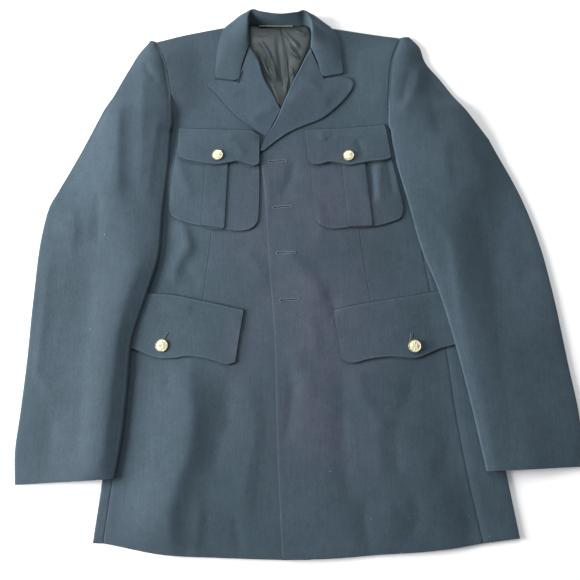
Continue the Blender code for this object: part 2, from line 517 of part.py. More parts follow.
def pockets(materials):
    """Breast pockets with raised box pleats, and the four flaps with their buttons."""
    pocket_base = LAYER_GAP + 0.2
    pleat_base = pocket_base + PATCH + LAYER_GAP
    flap_base = pleat_base + 1.2 + LAYER_GAP
    for side, pocket, pleat, flap, hip in (
        ("right", BREAST_POCKET_RIGHT, PLEAT_RIGHT, BREAST_FLAP_RIGHT, HIP_FLAP_RIGHT),
        ("left", BREAST_POCKET_LEFT, PLEAT_LEFT, BREAST_FLAP_LEFT, HIP_FLAP_LEFT),
    ):
        a = along(pocket["left"], np.linspace(0, 1, 9))
        b = along(pocket["right"], np.linspace(0, 1, 9))
        bottom = along(pocket["bottom"], np.linspace(0, 1, 14))
        grid = patch(a, b, bottom, np.linspace(a[-1], b[-1], 14))
        height = body_top(side, grid[..., 0], grid[..., 1]) + pocket_base
        sheet("breast_pocket_" + side, heights(grid, height), PATCH, materials["wool"], False)
        a = along(pleat["left"], np.linspace(0, 1, 9))
        b = along(pleat["right"], np.linspace(0, 1, 9))
        grid = patch(a, b, np.linspace(a[0], b[0], 4), np.linspace(a[-1], b[-1], 4))
        height = body_top(side, grid[..., 0], grid[..., 1]) + pleat_base
        sheet("pocket_pleat_" + side, heights(grid, height), 1.2, materials["wool"], False)
        columns = np.linspace(0, 1, 19)
        top = along(flap["top"], columns)
        bottom = along(flap["bottom"], columns)
        t = np.array((0.0, 0.3, 0.55, 0.78, 0.9, 1.0))
        grid = bottom[None] + (top - bottom)[None] * t[:, None, None]
        lift = flap_base - (flap_base - pocket_base) * ease(0.66, 1.0, t)[:, None]
        height = body_top(side, grid[..., 0], grid[..., 1]) + lift
        sheet("breast_flap_" + side, heights(grid, height), CLOTH, materials["wool"], False)
        columns = np.linspace(0, 1, 21)
        top = along(hip["top"], columns)
        bottom = along(hip["bottom"], columns)
        t = np.linspace(0, 1, 5)
        grid = bottom[None] + (top - bottom)[None] * t[:, None, None]
        height = body_top(side, grid[..., 0], grid[..., 1]) + pocket_base
        sheet("hip_flap_" + side, heights(grid, height), CLOTH, materials["wool"], False)
    for name, x, y, diameter, kind in BUTTONS:
        side = "left" if name.endswith("left") else "right"
        radius = diameter / 2
        around = np.array((-radius, 0.0, radius, 0.0, 0.0))
        rest = body_top(side, x + around, y + around[[1, 0, 1, 2, 1]]).max()
        rest += (flap_base if kind == "breast" else pocket_base) + CLOTH + 0.3
        bpy.ops.mesh.primitive_cylinder_add(vertices=24, radius=radius / 1000, depth=1.6 / 1000,
                                            location=(x / 1000, y / 1000, (rest + 0.8) / 1000))
        disc = bpy.context.object
        disc.name = name
        bpy.ops.object.mode_set(mode="EDIT")
        bpy.ops.mesh.select_all(action="DESELECT")
        bpy.ops.object.mode_set(mode="OBJECT")
        for face in disc.data.polygons:
            face.select = face.normal.z > 0.5
        bpy.ops.object.mode_set(mode="EDIT")
        for rise, share in ((0.5, 0.93), (0.9, 0.8), (0.7, 0.5)):
            bpy.ops.mesh.extrude_region_move(TRANSFORM_OT_translate={"value": (0, 0, rise / 1000)})
            bpy.ops.transform.resize(value=(share, share, 1))
        bpy.ops.object.mode_set(mode="OBJECT")
        disc.data.materials.append(materials["brass"])


def main():
    for old in list(bpy.data.objects):
        bpy.data.objects.remove(old)
    home = bpy.data.collections.new("dress_uniform_jacket")
    bpy.context.scene.collection.children.link(home)
    layer = bpy.context.view_layer.layer_collection.children[home.name]
    bpy.context.view_layer.active_layer_collection = layer
    materials = {name: surface(name) for name in SURFACES}
    body_panels(materials)
    sleeves(materials)
    lapels(materials)
    collar(materials)
    linings(materials)
    pockets(materials)
    graph = bpy.context.evaluated_depsgraph_get()
    corners = []
    for made in home.objects:
        solid = made.evaluated_get(graph).data
        corners += [made.matrix_world @ vertex.co for vertex in solid.vertices]
    low = np.min(np.array(corners), axis=0)
    high = np.max(np.array(corners), axis=0)
    for made in home.objects:
        made.location.x -= (low[0] + high[0]) / 2
        made.location.y -= (low[1] + high[1]) / 2
        made.location.z -= low[2]


main()
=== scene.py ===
"""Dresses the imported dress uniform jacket: wool shell, satin lining, gilt buttons and a studio floor."""

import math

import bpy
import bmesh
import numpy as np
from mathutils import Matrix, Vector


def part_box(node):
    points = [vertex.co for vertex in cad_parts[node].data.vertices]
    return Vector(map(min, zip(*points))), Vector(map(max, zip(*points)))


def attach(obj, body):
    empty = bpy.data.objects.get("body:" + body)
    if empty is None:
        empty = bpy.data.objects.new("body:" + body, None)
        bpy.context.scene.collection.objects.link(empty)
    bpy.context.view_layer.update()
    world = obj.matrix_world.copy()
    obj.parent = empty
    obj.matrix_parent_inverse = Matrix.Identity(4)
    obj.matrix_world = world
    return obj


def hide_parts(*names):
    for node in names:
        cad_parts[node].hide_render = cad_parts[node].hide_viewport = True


bl_info = {
    "name": "Dress Uniform Jacket",
    "version": (1, 0, 0),
    "blender": (4, 5, 0),
    "location": "View3D > Sidebar > Jacket",
    "description": "Sews the cloth, lining, pockets, buttonholes and buttons of a jacket laid flat",
    "category": "Add Mesh",
}

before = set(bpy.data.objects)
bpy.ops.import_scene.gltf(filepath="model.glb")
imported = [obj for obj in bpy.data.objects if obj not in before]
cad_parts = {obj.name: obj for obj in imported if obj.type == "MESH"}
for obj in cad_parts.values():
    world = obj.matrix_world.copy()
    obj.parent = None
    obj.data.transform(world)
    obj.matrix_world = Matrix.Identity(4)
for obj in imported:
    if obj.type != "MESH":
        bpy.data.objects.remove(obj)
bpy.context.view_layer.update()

SIDES = ("right", "left")
OUTWARD = {"right": -1, "left": 1}

# Layers of the garment, in millimetres
CLOTH = 2.0
LINING = 0.8
PATCH = 1.5
PLEAT = 1.2
LABEL = 0.6
LAYER_GAP = 0.5
SEAM_GAP = 0.35
BACK_WRAP = 55.0
FRONT_UNDER_Z = CLOTH + LAYER_GAP
OVERLAP_RISE = CLOTH + LAYER_GAP
OVERLAP_RAMP = 95.0
BODY_TOP_Z = FRONT_UNDER_Z + CLOTH
SLEEVE_OVER_BODY_Z = BODY_TOP_Z + CLOTH + 2.5 * LAYER_GAP
SLEEVE_RAMP = 34.0
SLEEVE_BRIDGE = 80.0
SLEEVE_LOFT = 6.0
SLEEVE_SKEW = 1.35
SLEEVE_CURL = 3.0
LOWER_SKEW = {"right": 0.45, "left": -0.1}
LOWER_RISE = {"right": -0.12, "left": 0.0}
# How much narrower the painted rims of shade and highlight are at a cut's last column, its right side on most
# cuts
SHADED_SIDE = 1.9
LAPEL_LOFT = 3.0
CHEST_LOFT = 3.0
SKIRT_LOFT = 7.0
LOFT_REACH = 120.0
PAD_LOFT = 7.0
PAD_REACH = 62.0
EDGE_ROUND = 0.55
PATCH_ROUND = 0.4
RIM = 7.0
POCKET_LIFT = LAYER_GAP + 0.2
PLEAT_LIFT = POCKET_LIFT + PATCH + LAYER_GAP
FLAP_LIFT = PLEAT_LIFT + PLEAT + LAYER_GAP
BUTTON_CLEAR = 0.3
SLEEVE_FALL = 2 * CLOTH + LAYER_GAP - 0.6
SLEEVE_TUCK = 2.2
SHOULDER_MIDDLE = (0, 779)
PIT_OFFSET = (38, 14)
HEM_SAG = 4.0
LAPEL_CURL = 3.0
LAPEL_FOOT = 1.1
LAPEL_TURN = ((0.03, 3.4), (0.09, 2.2), (0.2, 1.4), (0.38, 0.75), (0.65, 0.25), (1.0, 0.0))
COLLAR_BEND = 4.5
LINING_CREASE = 1.5
LINING_CROWN = 1.6

# Heights up the garment between which one shape eases into another, in millimetres
WAIST = (300, 470)
HEM_DOME = (0, 70)
HEM_CREASE = (0, 55)
SHOULDER_DOME = (0, 60)
PAD_UP = (600, 690)
PAD_FROM_SHOULDER = (0, 34)
ARMPIT = (520, 560)
ARMPIT_LIMITS = (530, 535)
ARMHOLE_SEAM = (634, 668)
ARMHOLE_CLOSED = (640, 664)
TUCKED = (618, 646)
SLEEVE_LOWER = (360, 470)
CUFF_CREASE = (100, 125)
COLLAR_OFF_BODY = (10, 18)

# Rows and columns of each sheet's grid
BACK_ROWS = (65, 13, 25)
BACK_COLUMNS = 33
SIDE_ROWS = 81
SIDE_SHARES = (0.0, 0.25, 0.5, 0.75, 1.0)
SIDE_TURNS = 11
FRONT_ROWS = (81, 17, 33)
FRONT_EDGE_ROWS = (81, 49)
FRONT_COLUMNS = 67
SLEEVE_ROWS = (96, 33)
SLEEVE_COLUMNS = 41
SLEEVE_TURNS = 5
SLEEVE_UNDER_COLUMNS = 31
LAPEL_ROWS = 61
LAPEL_COLUMNS = (21, 14)
COLLAR_ROWS = 133
COLLAR_COLUMNS = (17, 9, 9)
LINING_ROWS = (49, 16)
LINING_COLUMNS = 25
POCKET_ROWS = 41
POCKET_COLUMNS = 53
PLEAT_COLUMNS = 15
BREAST_FLAP_GRID = (25, 67)
HIP_FLAP_GRID = (35, 81)
LABEL_ACROSS = (-32.0, 19.0, 27)
LABEL_UP = (775.0, 777.6, 5)
LABEL_FALL = (3.2, 1.3)

# Body outlines: x and y in millimetres, from the hem up
SIDE_FOLD = {"right": ((-249, 22), (-240, 104), (-227, 238), (-215, 307), (-197, 404), (-200, 455),
                       (-224, 508), (-240, 535)),
             "left": ((323, 28), (309, 114), (286, 240), (265, 310), (237, 404), (236, 455), (252, 510),
                      (268, 537))}
FRONT_SEAM = {"right": ((-235, 22), (-226, 104), (-213, 238), (-201, 307), (-184, 404), (-187, 455),
                        (-209, 508), (-222, 530)),
              "left": ((273, 22), (256, 110), (243, 196), (233, 283), (213, 374), (205, 433), (212, 490),
                       (232, 530))}
ARMHOLE_LOWER = {"right": ((-222, 530), (-202, 560), (-175, 590), (-161, 612)),
                 "left": ((232, 530), (208, 562), (178, 592), (163, 612))}
ARMHOLE_UPPER = {"right": ((-161, 612), (-160, 642), (-165, 678), (-172.5, 715), (-187.5, 750)),
                 "left": ((163, 612), (161, 644), (162, 678), (167, 717), (181.5, 757))}
SHOULDER = {"right": ((-187.5, 750), (-152.5, 760), (-114.5, 768.5), (-84.5, 774.5), (-55, 780)),
            "left": ((55, 777.5), (80, 773), (121.5, 766), (155.5, 760.5), (181.5, 757))}
HEM = {"right": ((-235, 22), (-153, 8), (-78, 4), (2, 2), (43, 2)),
       "left": ((4, 1), (75, 3), (128, 7), (201, 12), (242, 17), (273, 22))}
FRONT_EDGE = {"right": ((43, 1), (31, 301), (20, 502.5), (14, 576), (8, 609.5), (-2, 634.5)),
              "left": ((4, 1), (-3, 149), (-8, 308), (-16, 407), (-23.2, 516), (-26.8, 553), (-26.2, 572))}
NECK_EDGE = {"right": ((-2, 634.5), (-15, 659.5), (-28, 687), (-40, 721.5), (-51, 743.5), (-52.5, 762.5),
                       (-55, 780)),
             "left": ((-26.2, 572), (-15, 594), (-2, 618.5), (10, 646.5), (22, 676), (35, 703), (46.5, 728.5),
                      (51.5, 750.5), (55, 777.5))}
LAP_EDGE = ((2, 43), (300, 31), (500, 20), (576, 14), (609, 8), (634, -2), (662, -24))
BACK_SEAM = ((33, 2), (30, 110), (22, 300), (15, 450), (4, 620), (-1, 779))

# Sleeve outlines, from the cuff up; the inner edge goes on as the upper armhole seam
SLEEVE_OUTER = {"right": ((-359, 97.5), (-362, 140), (-358.5, 190), (-354, 260.5), (-350.5, 355),
                          (-343, 456.5), (-339, 478), (-335, 492.5), (-327, 508), (-312, 537), (-292.5, 575)),
                "left": ((418, 122), (413.5, 201), (406, 250.5), (388, 372), (377.5, 425), (354, 500.5),
                         (309.5, 593))}
SLEEVE_HEAD = {"right": ((-292.5, 575), (-252.5, 657.5), (-228, 706.5), (-211, 735.5), (-197.5, 753.5)),
               "left": ((309.5, 593), (283.5, 629), (241, 689.5), (218, 721.5), (212, 742), (197.5, 759))}
SLEEVE_INNER = {"right": ((-222, 106), (-215, 156), (-209, 242), (-207, 288), (-187, 362), (-174, 408),
                          (-169, 482), (-162, 573), (-161.5, 612)),
                "left": ((281, 116), (262, 216), (247, 284), (224, 369), (204, 423), (188, 489), (167, 578),
                         (163.5, 612))}

# Lapels: roll line and outer edge from the bottom up, then the top edge from the roll to the tip
LAPEL_ROLL = {"right": ((1.5, 638.5), (-9, 660.5), (-23.5, 688), (-35.5, 724.5), (-46, 740.5)),
              "left": ((-29, 573), (-20.5, 594), (-7, 618.5), (5, 647.5), (17, 677), (30, 704), (41, 727.5),
                       (45.5, 735.5))}
LAPEL_OUTER = {"right": ((-20, 595.8), (-42, 610.5), (-65, 628.5), (-80, 644.5), (-96.5, 665.5),
                         (-107, 675.5), (-110.5, 681), (-105.5, 685.5)),
               "left": ((-25, 572), (-2, 591), (14, 602), (35, 612), (60.5, 623.5), (80.5, 639.5),
                        (99.5, 660), (107.5, 672), (110, 681.5), (105.5, 688.5))}
LAPEL_TOP = {"right": ((-46, 740.5), (-63, 682), (-80, 685), (-95, 686.5), (-105.5, 685.5)),
             "left": ((45.5, 735.5), (65.5, 688.5), (80, 690.5), (95, 691.5), (105.5, 688.5))}
NOTCH_SHARE = 0.62

# Collar stations: outer edge, notch or middle, fold and neck edge, each as x, y and height
COLLAR_STATIONS = (
    ((-98, 690, 7.2), (-65, 685.5, 7.6), (-46.5, 741.5, 12), (-46.5, 742, 3.2)),
    ((-97, 712, 7.2), (-72, 731, 13.0), (-47.5, 755, 20), (-48, 754, 3.4)),
    ((-94, 741, 7.6), (-71, 755, 15.5), (-47.5, 771, 24), (-48.5, 765, 3.8)),
    ((-88, 765.5, 8.6), (-69, 774.5, 14.0), (-47, 784, 24), (-48, 776, 4.4)),
    ((-76, 781, 5.0), (-60, 790, 14.0), (-41, 793, 27.5), (-43, 779, 4.8)),
    ((-42, 793.5, 1.2), (-38, 795, 14.0), (-28, 789, 28), (-30, 778, 4.6)),
    ((-1, 789, 0.6), (-1, 790, 14.0), (-1, 785, 28), (-1, 776.5, 4.4)),
    ((38, 791.5, 1.2), (34, 794, 14.0), (24, 787.5, 28), (27, 777, 4.6)),
    ((71, 779, 5.0), (54.5, 788, 14.0), (36, 791, 27.5), (38, 778, 4.8)),
    ((82, 766, 8.6), (64, 772, 14.0), (45, 780, 24), (45.5, 773, 4.4)),
    ((91, 745.5, 7.6), (69, 756, 16.5), (47.5, 766.5, 26), (48, 761, 3.8)),
    ((94, 718, 7.2), (71, 733, 14.5), (47, 752, 22.5), (47, 751, 3.4)),
    ((96, 697, 7.2), (65.5, 691.5, 7.8), (46.5, 737.5, 12), (46.5, 738, 3.2)),
)

# Lining in the neck: side edges and the seam, from the bottom up
LINING_RIGHT_SIDE = ((1.5, 644.5), (-8, 661.5), (-21.5, 689), (-33.5, 724.5), (-44, 743.5), (-45.5, 762.5),
                     (-45.5, 778))
LINING_RIGHT_LOWER = ((4.5, 645.5), (10, 659.5), (15.4, 677))
LINING_SEAM = ((15.8, 678), (12.5, 716), (6.5, 752), (0, 778))
LINING_LEFT_SIDE = ((17.5, 680), (28, 705), (37, 727.5), (44.5, 750.5), (44.5, 768), (41, 778))

# Pockets and flaps
POCKET = {"right": {"left": ((-160.5, 489), (-158.5, 514), (-151.5, 588.5)),
                    "right": ((-30.5, 476.5), (-29.5, 508), (-30.5, 588.5)),
                    "bottom": ((-160.5, 489), (-156.5, 475.5), (-139.5, 465.5), (-115, 459.5), (-97, 454.5),
                               (-79, 453.5), (-55.5, 451.5), (-40.5, 455.5), (-32.5, 464.5), (-30.5, 476.5))},
          "left": {"left": ((49.5, 480.5), (47.5, 506), (41, 588.5)),
                   "right": ((179.5, 486.5), (173.5, 518), (159, 588.5)),
                   "bottom": ((49.5, 480.5), (53.5, 464.5), (68.5, 455.5), (98.5, 456.5), (136, 458.5),
                              (161, 465.5), (175.5, 472.5), (179.5, 486.5))}}
PLEAT_SIDES = {"right": {"left": ((-113.5, 460), (-107, 585.5)), "right": ((-79, 454.5), (-74, 585.5))},
               "left": {"left": ((97.5, 457.5), (87.5, 585.5)), "right": ((134.5, 459.5), (122, 585.5))}}
BREAST_FLAP = {"right": {"top": ((-150.5, 611), (-119, 608.5), (-89, 607.5), (-58, 607), (-43, 606),
                                 (-29.5, 597)),
                         "bottom": ((-149.5, 563.5), (-142.5, 559), (-127, 555), (-109, 551.5), (-93, 550),
                                    (-75, 553), (-60.5, 555.5), (-48.5, 551.5), (-36.5, 548.5),
                                    (-29.5, 552.5))},
               "left": {"top": ((34, 606), (63.5, 608.5), (92.5, 610), (125, 613.5), (156, 616.5)),
                        "bottom": ((41, 556.5), (47.5, 550.5), (58.5, 550.5), (72.5, 554.5), (84.5, 553),
                                   (100.5, 550), (118, 553), (133, 556), (151, 557.5), (163.5, 561.5))}}
HIP_FLAP = {"right": {"top": ((-198, 362), (-181, 362), (-157, 360.5), (-110.5, 351), (-49.5, 337)),
                      "bottom": ((-208.5, 282.5), (-201, 280.5), (-187, 274.5), (-167, 268), (-148, 268),
                                 (-126, 270.5), (-105.5, 267.5), (-88.5, 263.5), (-72.5, 259),
                                 (-60.5, 262.5))},
            "left": {"top": ((73.5, 337), (94.5, 342), (129.5, 349), (172, 356), (213, 364), (244.5, 370)),
                     "bottom": ((85.5, 266.5), (98.5, 261.5), (124.5, 266.5), (154, 270), (173, 269),
                                (191, 268.5), (207, 274.5), (223, 281.5), (241.5, 286.5), (258.5, 291.5))}}

# Buttons: node, centre x and y, diameter and the flap each one is sewn through
BUTTONS = (("breast_button_right", -90.5, 565, 16.0, "breast"),
           ("breast_button_left", 100.5, 564.5, 16.0, "breast"),
           ("hip_button_right", -164, 286.5, 18.0, "hip"),
           ("hip_button_left", 188.5, 285.5, 18.0, "hip"))

# A button in metres: its disc, the rise and shrink of each step of its dome, its rope and its rosette
BUTTON_DISC = 0.0014
DOME_STEPS = ((0.0002, 0.94), (-0.0002, 0.93), (0.0004, 0.86), (0.0002, 0.75), (0.00012, 0.6), (0.00005, 0.4))
ROPE_RISE = 0.00014
ROPE_STRANDS = 36
ROPE_SLANT = 2600
ROSETTE_RISE = 0.0023
PETALS = 8

# The same button as shares of its radius
DISC_SHARE = 0.97
ROPE_SHARES = (0.93, 0.07)
RIM_SHARE = 0.9
PETAL_REACH = 0.36
PETAL_SHARES = (0.24, 0.09)
BOSS_SHARE = 0.13
PETAL_THICK = 0.0006
BOSS_THICK = 0.0005

# Buttonholes: name, carrier, eyelet end and far end
BUTTONHOLES = (("front_buttonhole_1", "front", (-14, 557), (9, 558)),
               ("front_buttonhole_2", "front", (-7, 487), (17, 489)),
               ("front_buttonhole_3", "front", (-2, 419), (22, 420)),
               ("front_buttonhole_4", "front", (3, 350), (27, 352)),
               ("hip_buttonhole_right", "hip", (-162, 295), (-157, 304)),
               ("hip_buttonhole_left", "hip", (184, 295), (185, 304)))

# For each carrier: ring of stitches, slit between them, eyelet of the near-black plate painted as shade, and
# reach of a stitch
HOLE_SIZES = {"front": (2.4, 1.0, 2.3 * 0.92, 1.0), "hip": (1.7, 0.7, 1.7 * 0.92, 0.7)}
STITCH_STEP = 0.62
STITCH_ARCH = ((0.0, 0.1), (0.12, 0.5), (0.5, 0.64), (0.86, 0.46), (1.0, -0.1))
THREAD_SIDES = 6
STITCH_ENDS = (28, 332, 17)
SLOT_ENDS = (22, 338, 20)
BAR_STITCHES = (-0.9, 0.9, 5)
HALF_SLIT = 0.42
SLOT_HEIGHTS = (-0.3, 0.34)

# How a soft fold comes in and fades along its line, and how it turns from one side's width to the other's
FOLD_IN = (-0.02, 0.24)
FOLD_OUT = (0.76, 1.02)
FOLD_STEEPNESS = 1.5
FOLD_BLEND = 3.0

# Soft folds: points from the top down, width to the left, width to the right, height; a trough's is negative
BODY_FOLDS = (
    (((-124, 288), (-124, 225), (-118, 190), (-123, 140), (-140, 92), (-148, 58), (-142, 12), (-140, -50)),
     66, 28, 8.2),
    (((-74, 252), (-72, 205), (-68, 178), (-84, 155), (-86, 128), (-82, 100)), 24, 17, -1.9),
    (((-112, 82), (-106, 55), (-110, 20), (-112, -20)), 14, 9, 1.6),
    (((-62, 66), (-54, 35), (-50, 0), (-48, -30)), 12, 7, -1.5),
    (((-45, 250), (-30, 175), (-45, 100), (-38, 40)), 26, 15, 1.6),
    (((-165, 262), (-152, 243), (-158, 222)), 9, 9, -1.3),
    (((8, 264), (20, 232), (15, 190), (8, 150)), 10, 12, -1.5),
    (((14, 288), (32, 248), (47, 212)), 20, 24, 1.5),
    (((84, 264), (88, 205), (87, 150), (93, 95), (98, 60)), 20, 20, -1.7),
    (((104, 258), (118, 215), (141, 178), (152, 160)), 15, 9, 1.3),
    (((188, 250), (182, 222), (166, 190), (158, 165)), 14, 18, -1.1),
    (((156, 176), (159, 140), (163, 104)), 14, 12, -1.2),
    (((132, 176), (137, 140), (138, 96)), 18, 10, 0.8),
    (((240, 205), (234, 166), (206, 130), (188, 100)), 60, 24, 2.6),
    (((246, 120), (242, 60), (246, -40)), 80, 20, 5.6),
    (((205, 365), (208, 300), (214, 240)), 90, 16, 2.6),
    (((-150, 650), (-152, 560), (-152, 470)), 26, 120, 3.2),
    (((166, 600), (168, 540), (174, 470)), 40, 14, 1.6),
    (((224, 149), (242, 158)), 4, 4, -1.2),
    (((118, 84), (114, 50), (124, 10), (126, -20)), 16, 10, -1.7),
    (((150, 84), (148, 50), (152, 18)), 20, 16, 1.3),
    (((176, 82), (188, 60), (176, 30)), 13, 12, -1.3),
    (((-152, 474), (-136, 450), (-129, 428), (-143, 411), (-150, 394), (-149, 366)), 22, 9, 3.8),
    (((-142, 403), (-126, 388), (-110, 372)), 8, 5, -1.5),
    (((-52, 428), (-34, 400), (-16, 376)), 16, 12, 1.4),
    (((21, 560), (15, 530), (2, 505)), 8, 12, -1.7),
    (((4, 432), (30, 398), (52, 372), (66, 342)), 26, 14, 2.3),
    (((68, 366), (76, 345), (78, 325)), 8, 10, -1.4),
    (((132, 560), (136, 520), (134, 494)), 9, 7, -2.2),
    (((146, 560), (144, 520), (147, 490)), 7, 7, 1.5),
    (((157, 566), (163, 522), (166, 500)), 6, 6, -1.4),
    (((-150, 562), (-138, 525), (-126, 500)), 15, 12, 1.5),
    (((112, 594), (119, 578), (123, 560)), 7, 7, -1.2),
    (((58, 602), (66, 586)), 6, 6, 0.9),
    (((76, 603), (79, 590)), 4, 4, -0.7),
    (((-78, 602), (-62, 580), (-50, 560)), 14, 9, 1.2),
    (((196, 456), (205, 432), (214, 408)), 9, 9, -1.9),
    (((-150, 752), (-158, 705), (-162, 650)), 18, 30, 2.6),
    (((118, 752), (132, 705), (128, 660)), 26, 16, 1.2),
    (((-20, 540), (-14, 500), (-20, 470)), 12, 8, 0.8),
    (((56, 500), (62, 460), (54, 430)), 14, 9, 0.9),
    (((-170, 345), (-120, 336)), 9, 9, 1.0),
    (((-176, 326), (-120, 318)), 7, 7, -0.9),
    (((150, 345), (205, 352)), 9, 9, 0.8),
    (((40, 330), (52, 300), (48, 270)), 14, 10, 1.1),
    (((-62, 338), (-52, 300), (-56, 262)), 14, 9, 1.0),
)
SLEEVE_FOLDS = {
    "right": ((((-178, 448), (-202, 385), (-220, 337), (-225, 300), (-225, 265), (-233, 210), (-236, 150),
                (-239, 70)), 30, 26, 2.6),
              (((-206, 706), (-202, 640), (-200, 560), (-201, 500)), 14, 14, 1.8),
              (((-237, 652), (-236, 570), (-231, 486)), 40, 13, 3.6),
              (((-262, 512), (-262, 470), (-260, 425)), 12, 8, -1.5),
              (((-205, 716), (-196, 696), (-181, 680)), 7, 6, -2.0),
              (((-300, 490), (-296, 455), (-297, 415)), 14, 7, 1.2),
              (((-264, 430), (-270, 300), (-274, 180), (-277, 60)), 54, 26, -2.8),
              (((-336, 430), (-335, 350), (-338, 270), (-345, 215)), 16, 12, 1.6),
              (((-318, 205), (-318, 160), (-310, 118)), 18, 20, -1.5),
              (((-326, 475), (-305, 455), (-286, 446)), 7, 7, 1.1),
              (((-335, 250), (-322, 228), (-300, 212)), 8, 8, 0.9),
              (((-176, 640), (-186, 560), (-190, 480)), 16, 12, 1.4)),
    "left": ((((212, 716), (204, 676), (191, 649), (174, 624)), 9, 16, 2.2),
             (((196, 706), (186, 672), (181, 640)), 8, 8, -1.2),
             (((222, 712), (228, 650), (238, 588)), 16, 46, -2.4),
             (((206, 496), (228, 462), (243, 438), (248, 400), (251, 350), (255, 300), (263, 250), (272, 200),
               (284, 130), (292, 70)), 8, 26, 2.3),
             (((244, 592), (238, 555), (248, 516)), 26, 13, 1.8),
             (((284, 560), (304, 430), (308, 300), (318, 140), (322, 60)), 42, 56, -4.5),
             (((334, 480), (346, 420), (348, 360)), 14, 20, -1.2),
             (((272, 590), (290, 540), (300, 470), (306, 420)), 14, 18, 1.0)),
}

# Soft folds of the lapels, in the same columns
LAPEL_FOLDS = {
    "right": ((((2, 640), (-26, 634), (-48, 618)), 12, 16, 1.6),
              (((-92, 676), (-70, 664), (-52, 670)), 10, 10, 0.8),
              (((-60, 634), (-52, 642), (-46, 646)), 4, 4, -0.5)),
    "left": ((((2, 664), (36, 657), (84, 650)), 16, 22, 2.2),
             (((30, 690), (60, 672), (92, 676)), 14, 12, 0.9)),
}

# Soft folds of the lining, in the same columns
LINING_FOLDS = (
    (((-4, 772), (-2, 745), (2, 710), (7, 672)), 5, 4, -1.6),
    (((3, 771), (14, 757), (31, 740)), 3, 2.5, 1.8),
    (((8, 760), (18, 748), (32, 731)), 2.5, 2.5, -1.2),
    (((10, 746), (20, 732), (31, 722)), 3, 2.5, 1.3),
    (((24, 771), (32, 765), (41, 762)), 3, 2.5, 1.4),
    (((8, 722), (16, 708), (22, 694)), 3, 2.5, 1.2),
    (((-32, 756), (-20, 736), (-11, 716)), 4, 2.5, 1.5),
    (((-42, 770), (-30, 763), (-12, 765)), 5, 4, 0.8),
    (((-14, 722), (-8, 704), (-4, 684)), 3, 2.5, 1.2),
    (((12, 694), (10, 676), (8, 660)), 2.5, 2.5, 0.9),
    (((-34, 742), (-24, 712), (-12, 686)), 3.5, 2.5, 1.3),
    (((-22, 726), (-17, 712), (-14, 700)), 2.5, 2.5, -0.9),
)

# Colours that the sidebar doesn't show, and lines drawn on the cloth
# Painted highlight: a pale band just inside each cut's edge, standing in for the light its rounded edge
# catches
PAINTED_HIGHLIGHT_RIM = (0.12, 0.155, 0.19, 1.0)
# Painted shade: a dark band at each cut's very edge, standing in for the shadow where it meets what lies
# under it
SHADED_RIM = (0.005, 0.008, 0.011, 1.0)
SEWN_LINE = (0.02, 0.027, 0.04, 1.0)
LINT = (0.45, 0.47, 0.48, 1.0)
NAP_TINT = (0.62, 0.76, 0.95, 1.0)
SATIN = ((0.013, 0.020, 0.021, 1), (0.027, 0.036, 0.036, 1), (0.020, 0.029, 0.029, 1))
SATIN_GLOSS = (0.93, 1.0, 0.99, 1.0)
TAPE = ((0.16, 0.16, 0.11, 1), (0.34, 0.34, 0.25, 1), (0.24, 0.25, 0.19, 1))
GILT = ((0.50, 0.46, 0.27, 1), (0.95, 0.92, 0.70, 1))
# Darker gilt for the outer faces of each button's rim: painted shade for the shadow gap round the button
GILT_PAINTED_SHADE = ((0.16, 0.13, 0.05, 1), (0.42, 0.35, 0.16, 1))
THREAD = (0.15, 0.185, 0.225, 1.0)
# Near-black of the buttonhole's slit and eyelet: painted shade in the opening
SLOT_PAINTED_SHADE = (0.001, 0.0015, 0.002, 1.0)
FLOOR = ((0.90, 0.88, 0.885, 1), (0.93, 0.905, 0.905, 1))
FULL_TURN = 6.2832
WARP_STRETCH = (1.0, 0.05, 1.0)
LEAST_CAST = 0.12
DART_LINES = (((-98, 451), (-102, 409)), ((-102, 409), (-108, 351)),
              ((115, 456), (120, 409)), ((120, 409), (129, 349)))
# Lines on the lining: from, to, width, share and colour; the first is its dark centre seam, the second a pale
# strip by the right lapel's roll, a painted highlight
LINING_LINES = (((1.5, 772), (11, 672), 0.0016, 0.8, (0.002, 0.003, 0.003, 1.0)),
                ((-12.5, 682), (-2, 652), 0.0017, 0.45, (0.20, 0.23, 0.25, 1.0)))

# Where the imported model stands, from its first button and its back: plan millimetres less this shift
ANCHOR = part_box(BUTTONS[0][0])
SHIFT = np.array((BUTTONS[0][1] - 500 * (ANCHOR[0][0] + ANCHOR[1][0]),
                  BUTTONS[0][2] - 500 * (ANCHOR[0][1] + ANCHOR[1][1]), -1000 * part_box("back_left")[0][2]))

# Camera, in plan millimetres
CAMERA_AT = (15.0, 163.0, 1051.74)
CAMERA_TILT = 11.0
FOCAL_PIXELS = 750.0
PICTURE_PIXELS = 580.0
SENSOR = 36.0

# Studio, in metres: floor, room light, and each lamp's place, aim, size, share of the key power and tint
FLOOR_LEVEL = -0.0006
ROOM_LIGHT = (0.95, 0.99, 0.98, 1.0)
LAMPS = (("window_key", (-2.1, -0.06, 0.82), (0.0, 0.0, 0.0), 1.25, 2.18, (0.955, 0.975, 1.0)),
         ("window_top", (-0.3, 1.4, 1.3), (0.0, 0.1, 0.0), 1.2, 0.3, (0.95, 0.98, 1.0)))


def ease(low, high, value):
    """0 up to low, 1 from high, and a smooth rise between."""
    share = np.clip((value - low) / (high - low), 0.0, 1.0)
    return share * share * (3.0 - 2.0 * share)


def hermite(first, last, leaving, arriving, u):
    """Cubic between two points with these slopes at its ends."""
    return ((2 * u**3 - 3 * u**2 + 1) * first + (u**3 - 2 * u**2 + u) * leaving
            + (3 * u**2 - 2 * u**3) * last + (u**3 - u**2) * arriving)


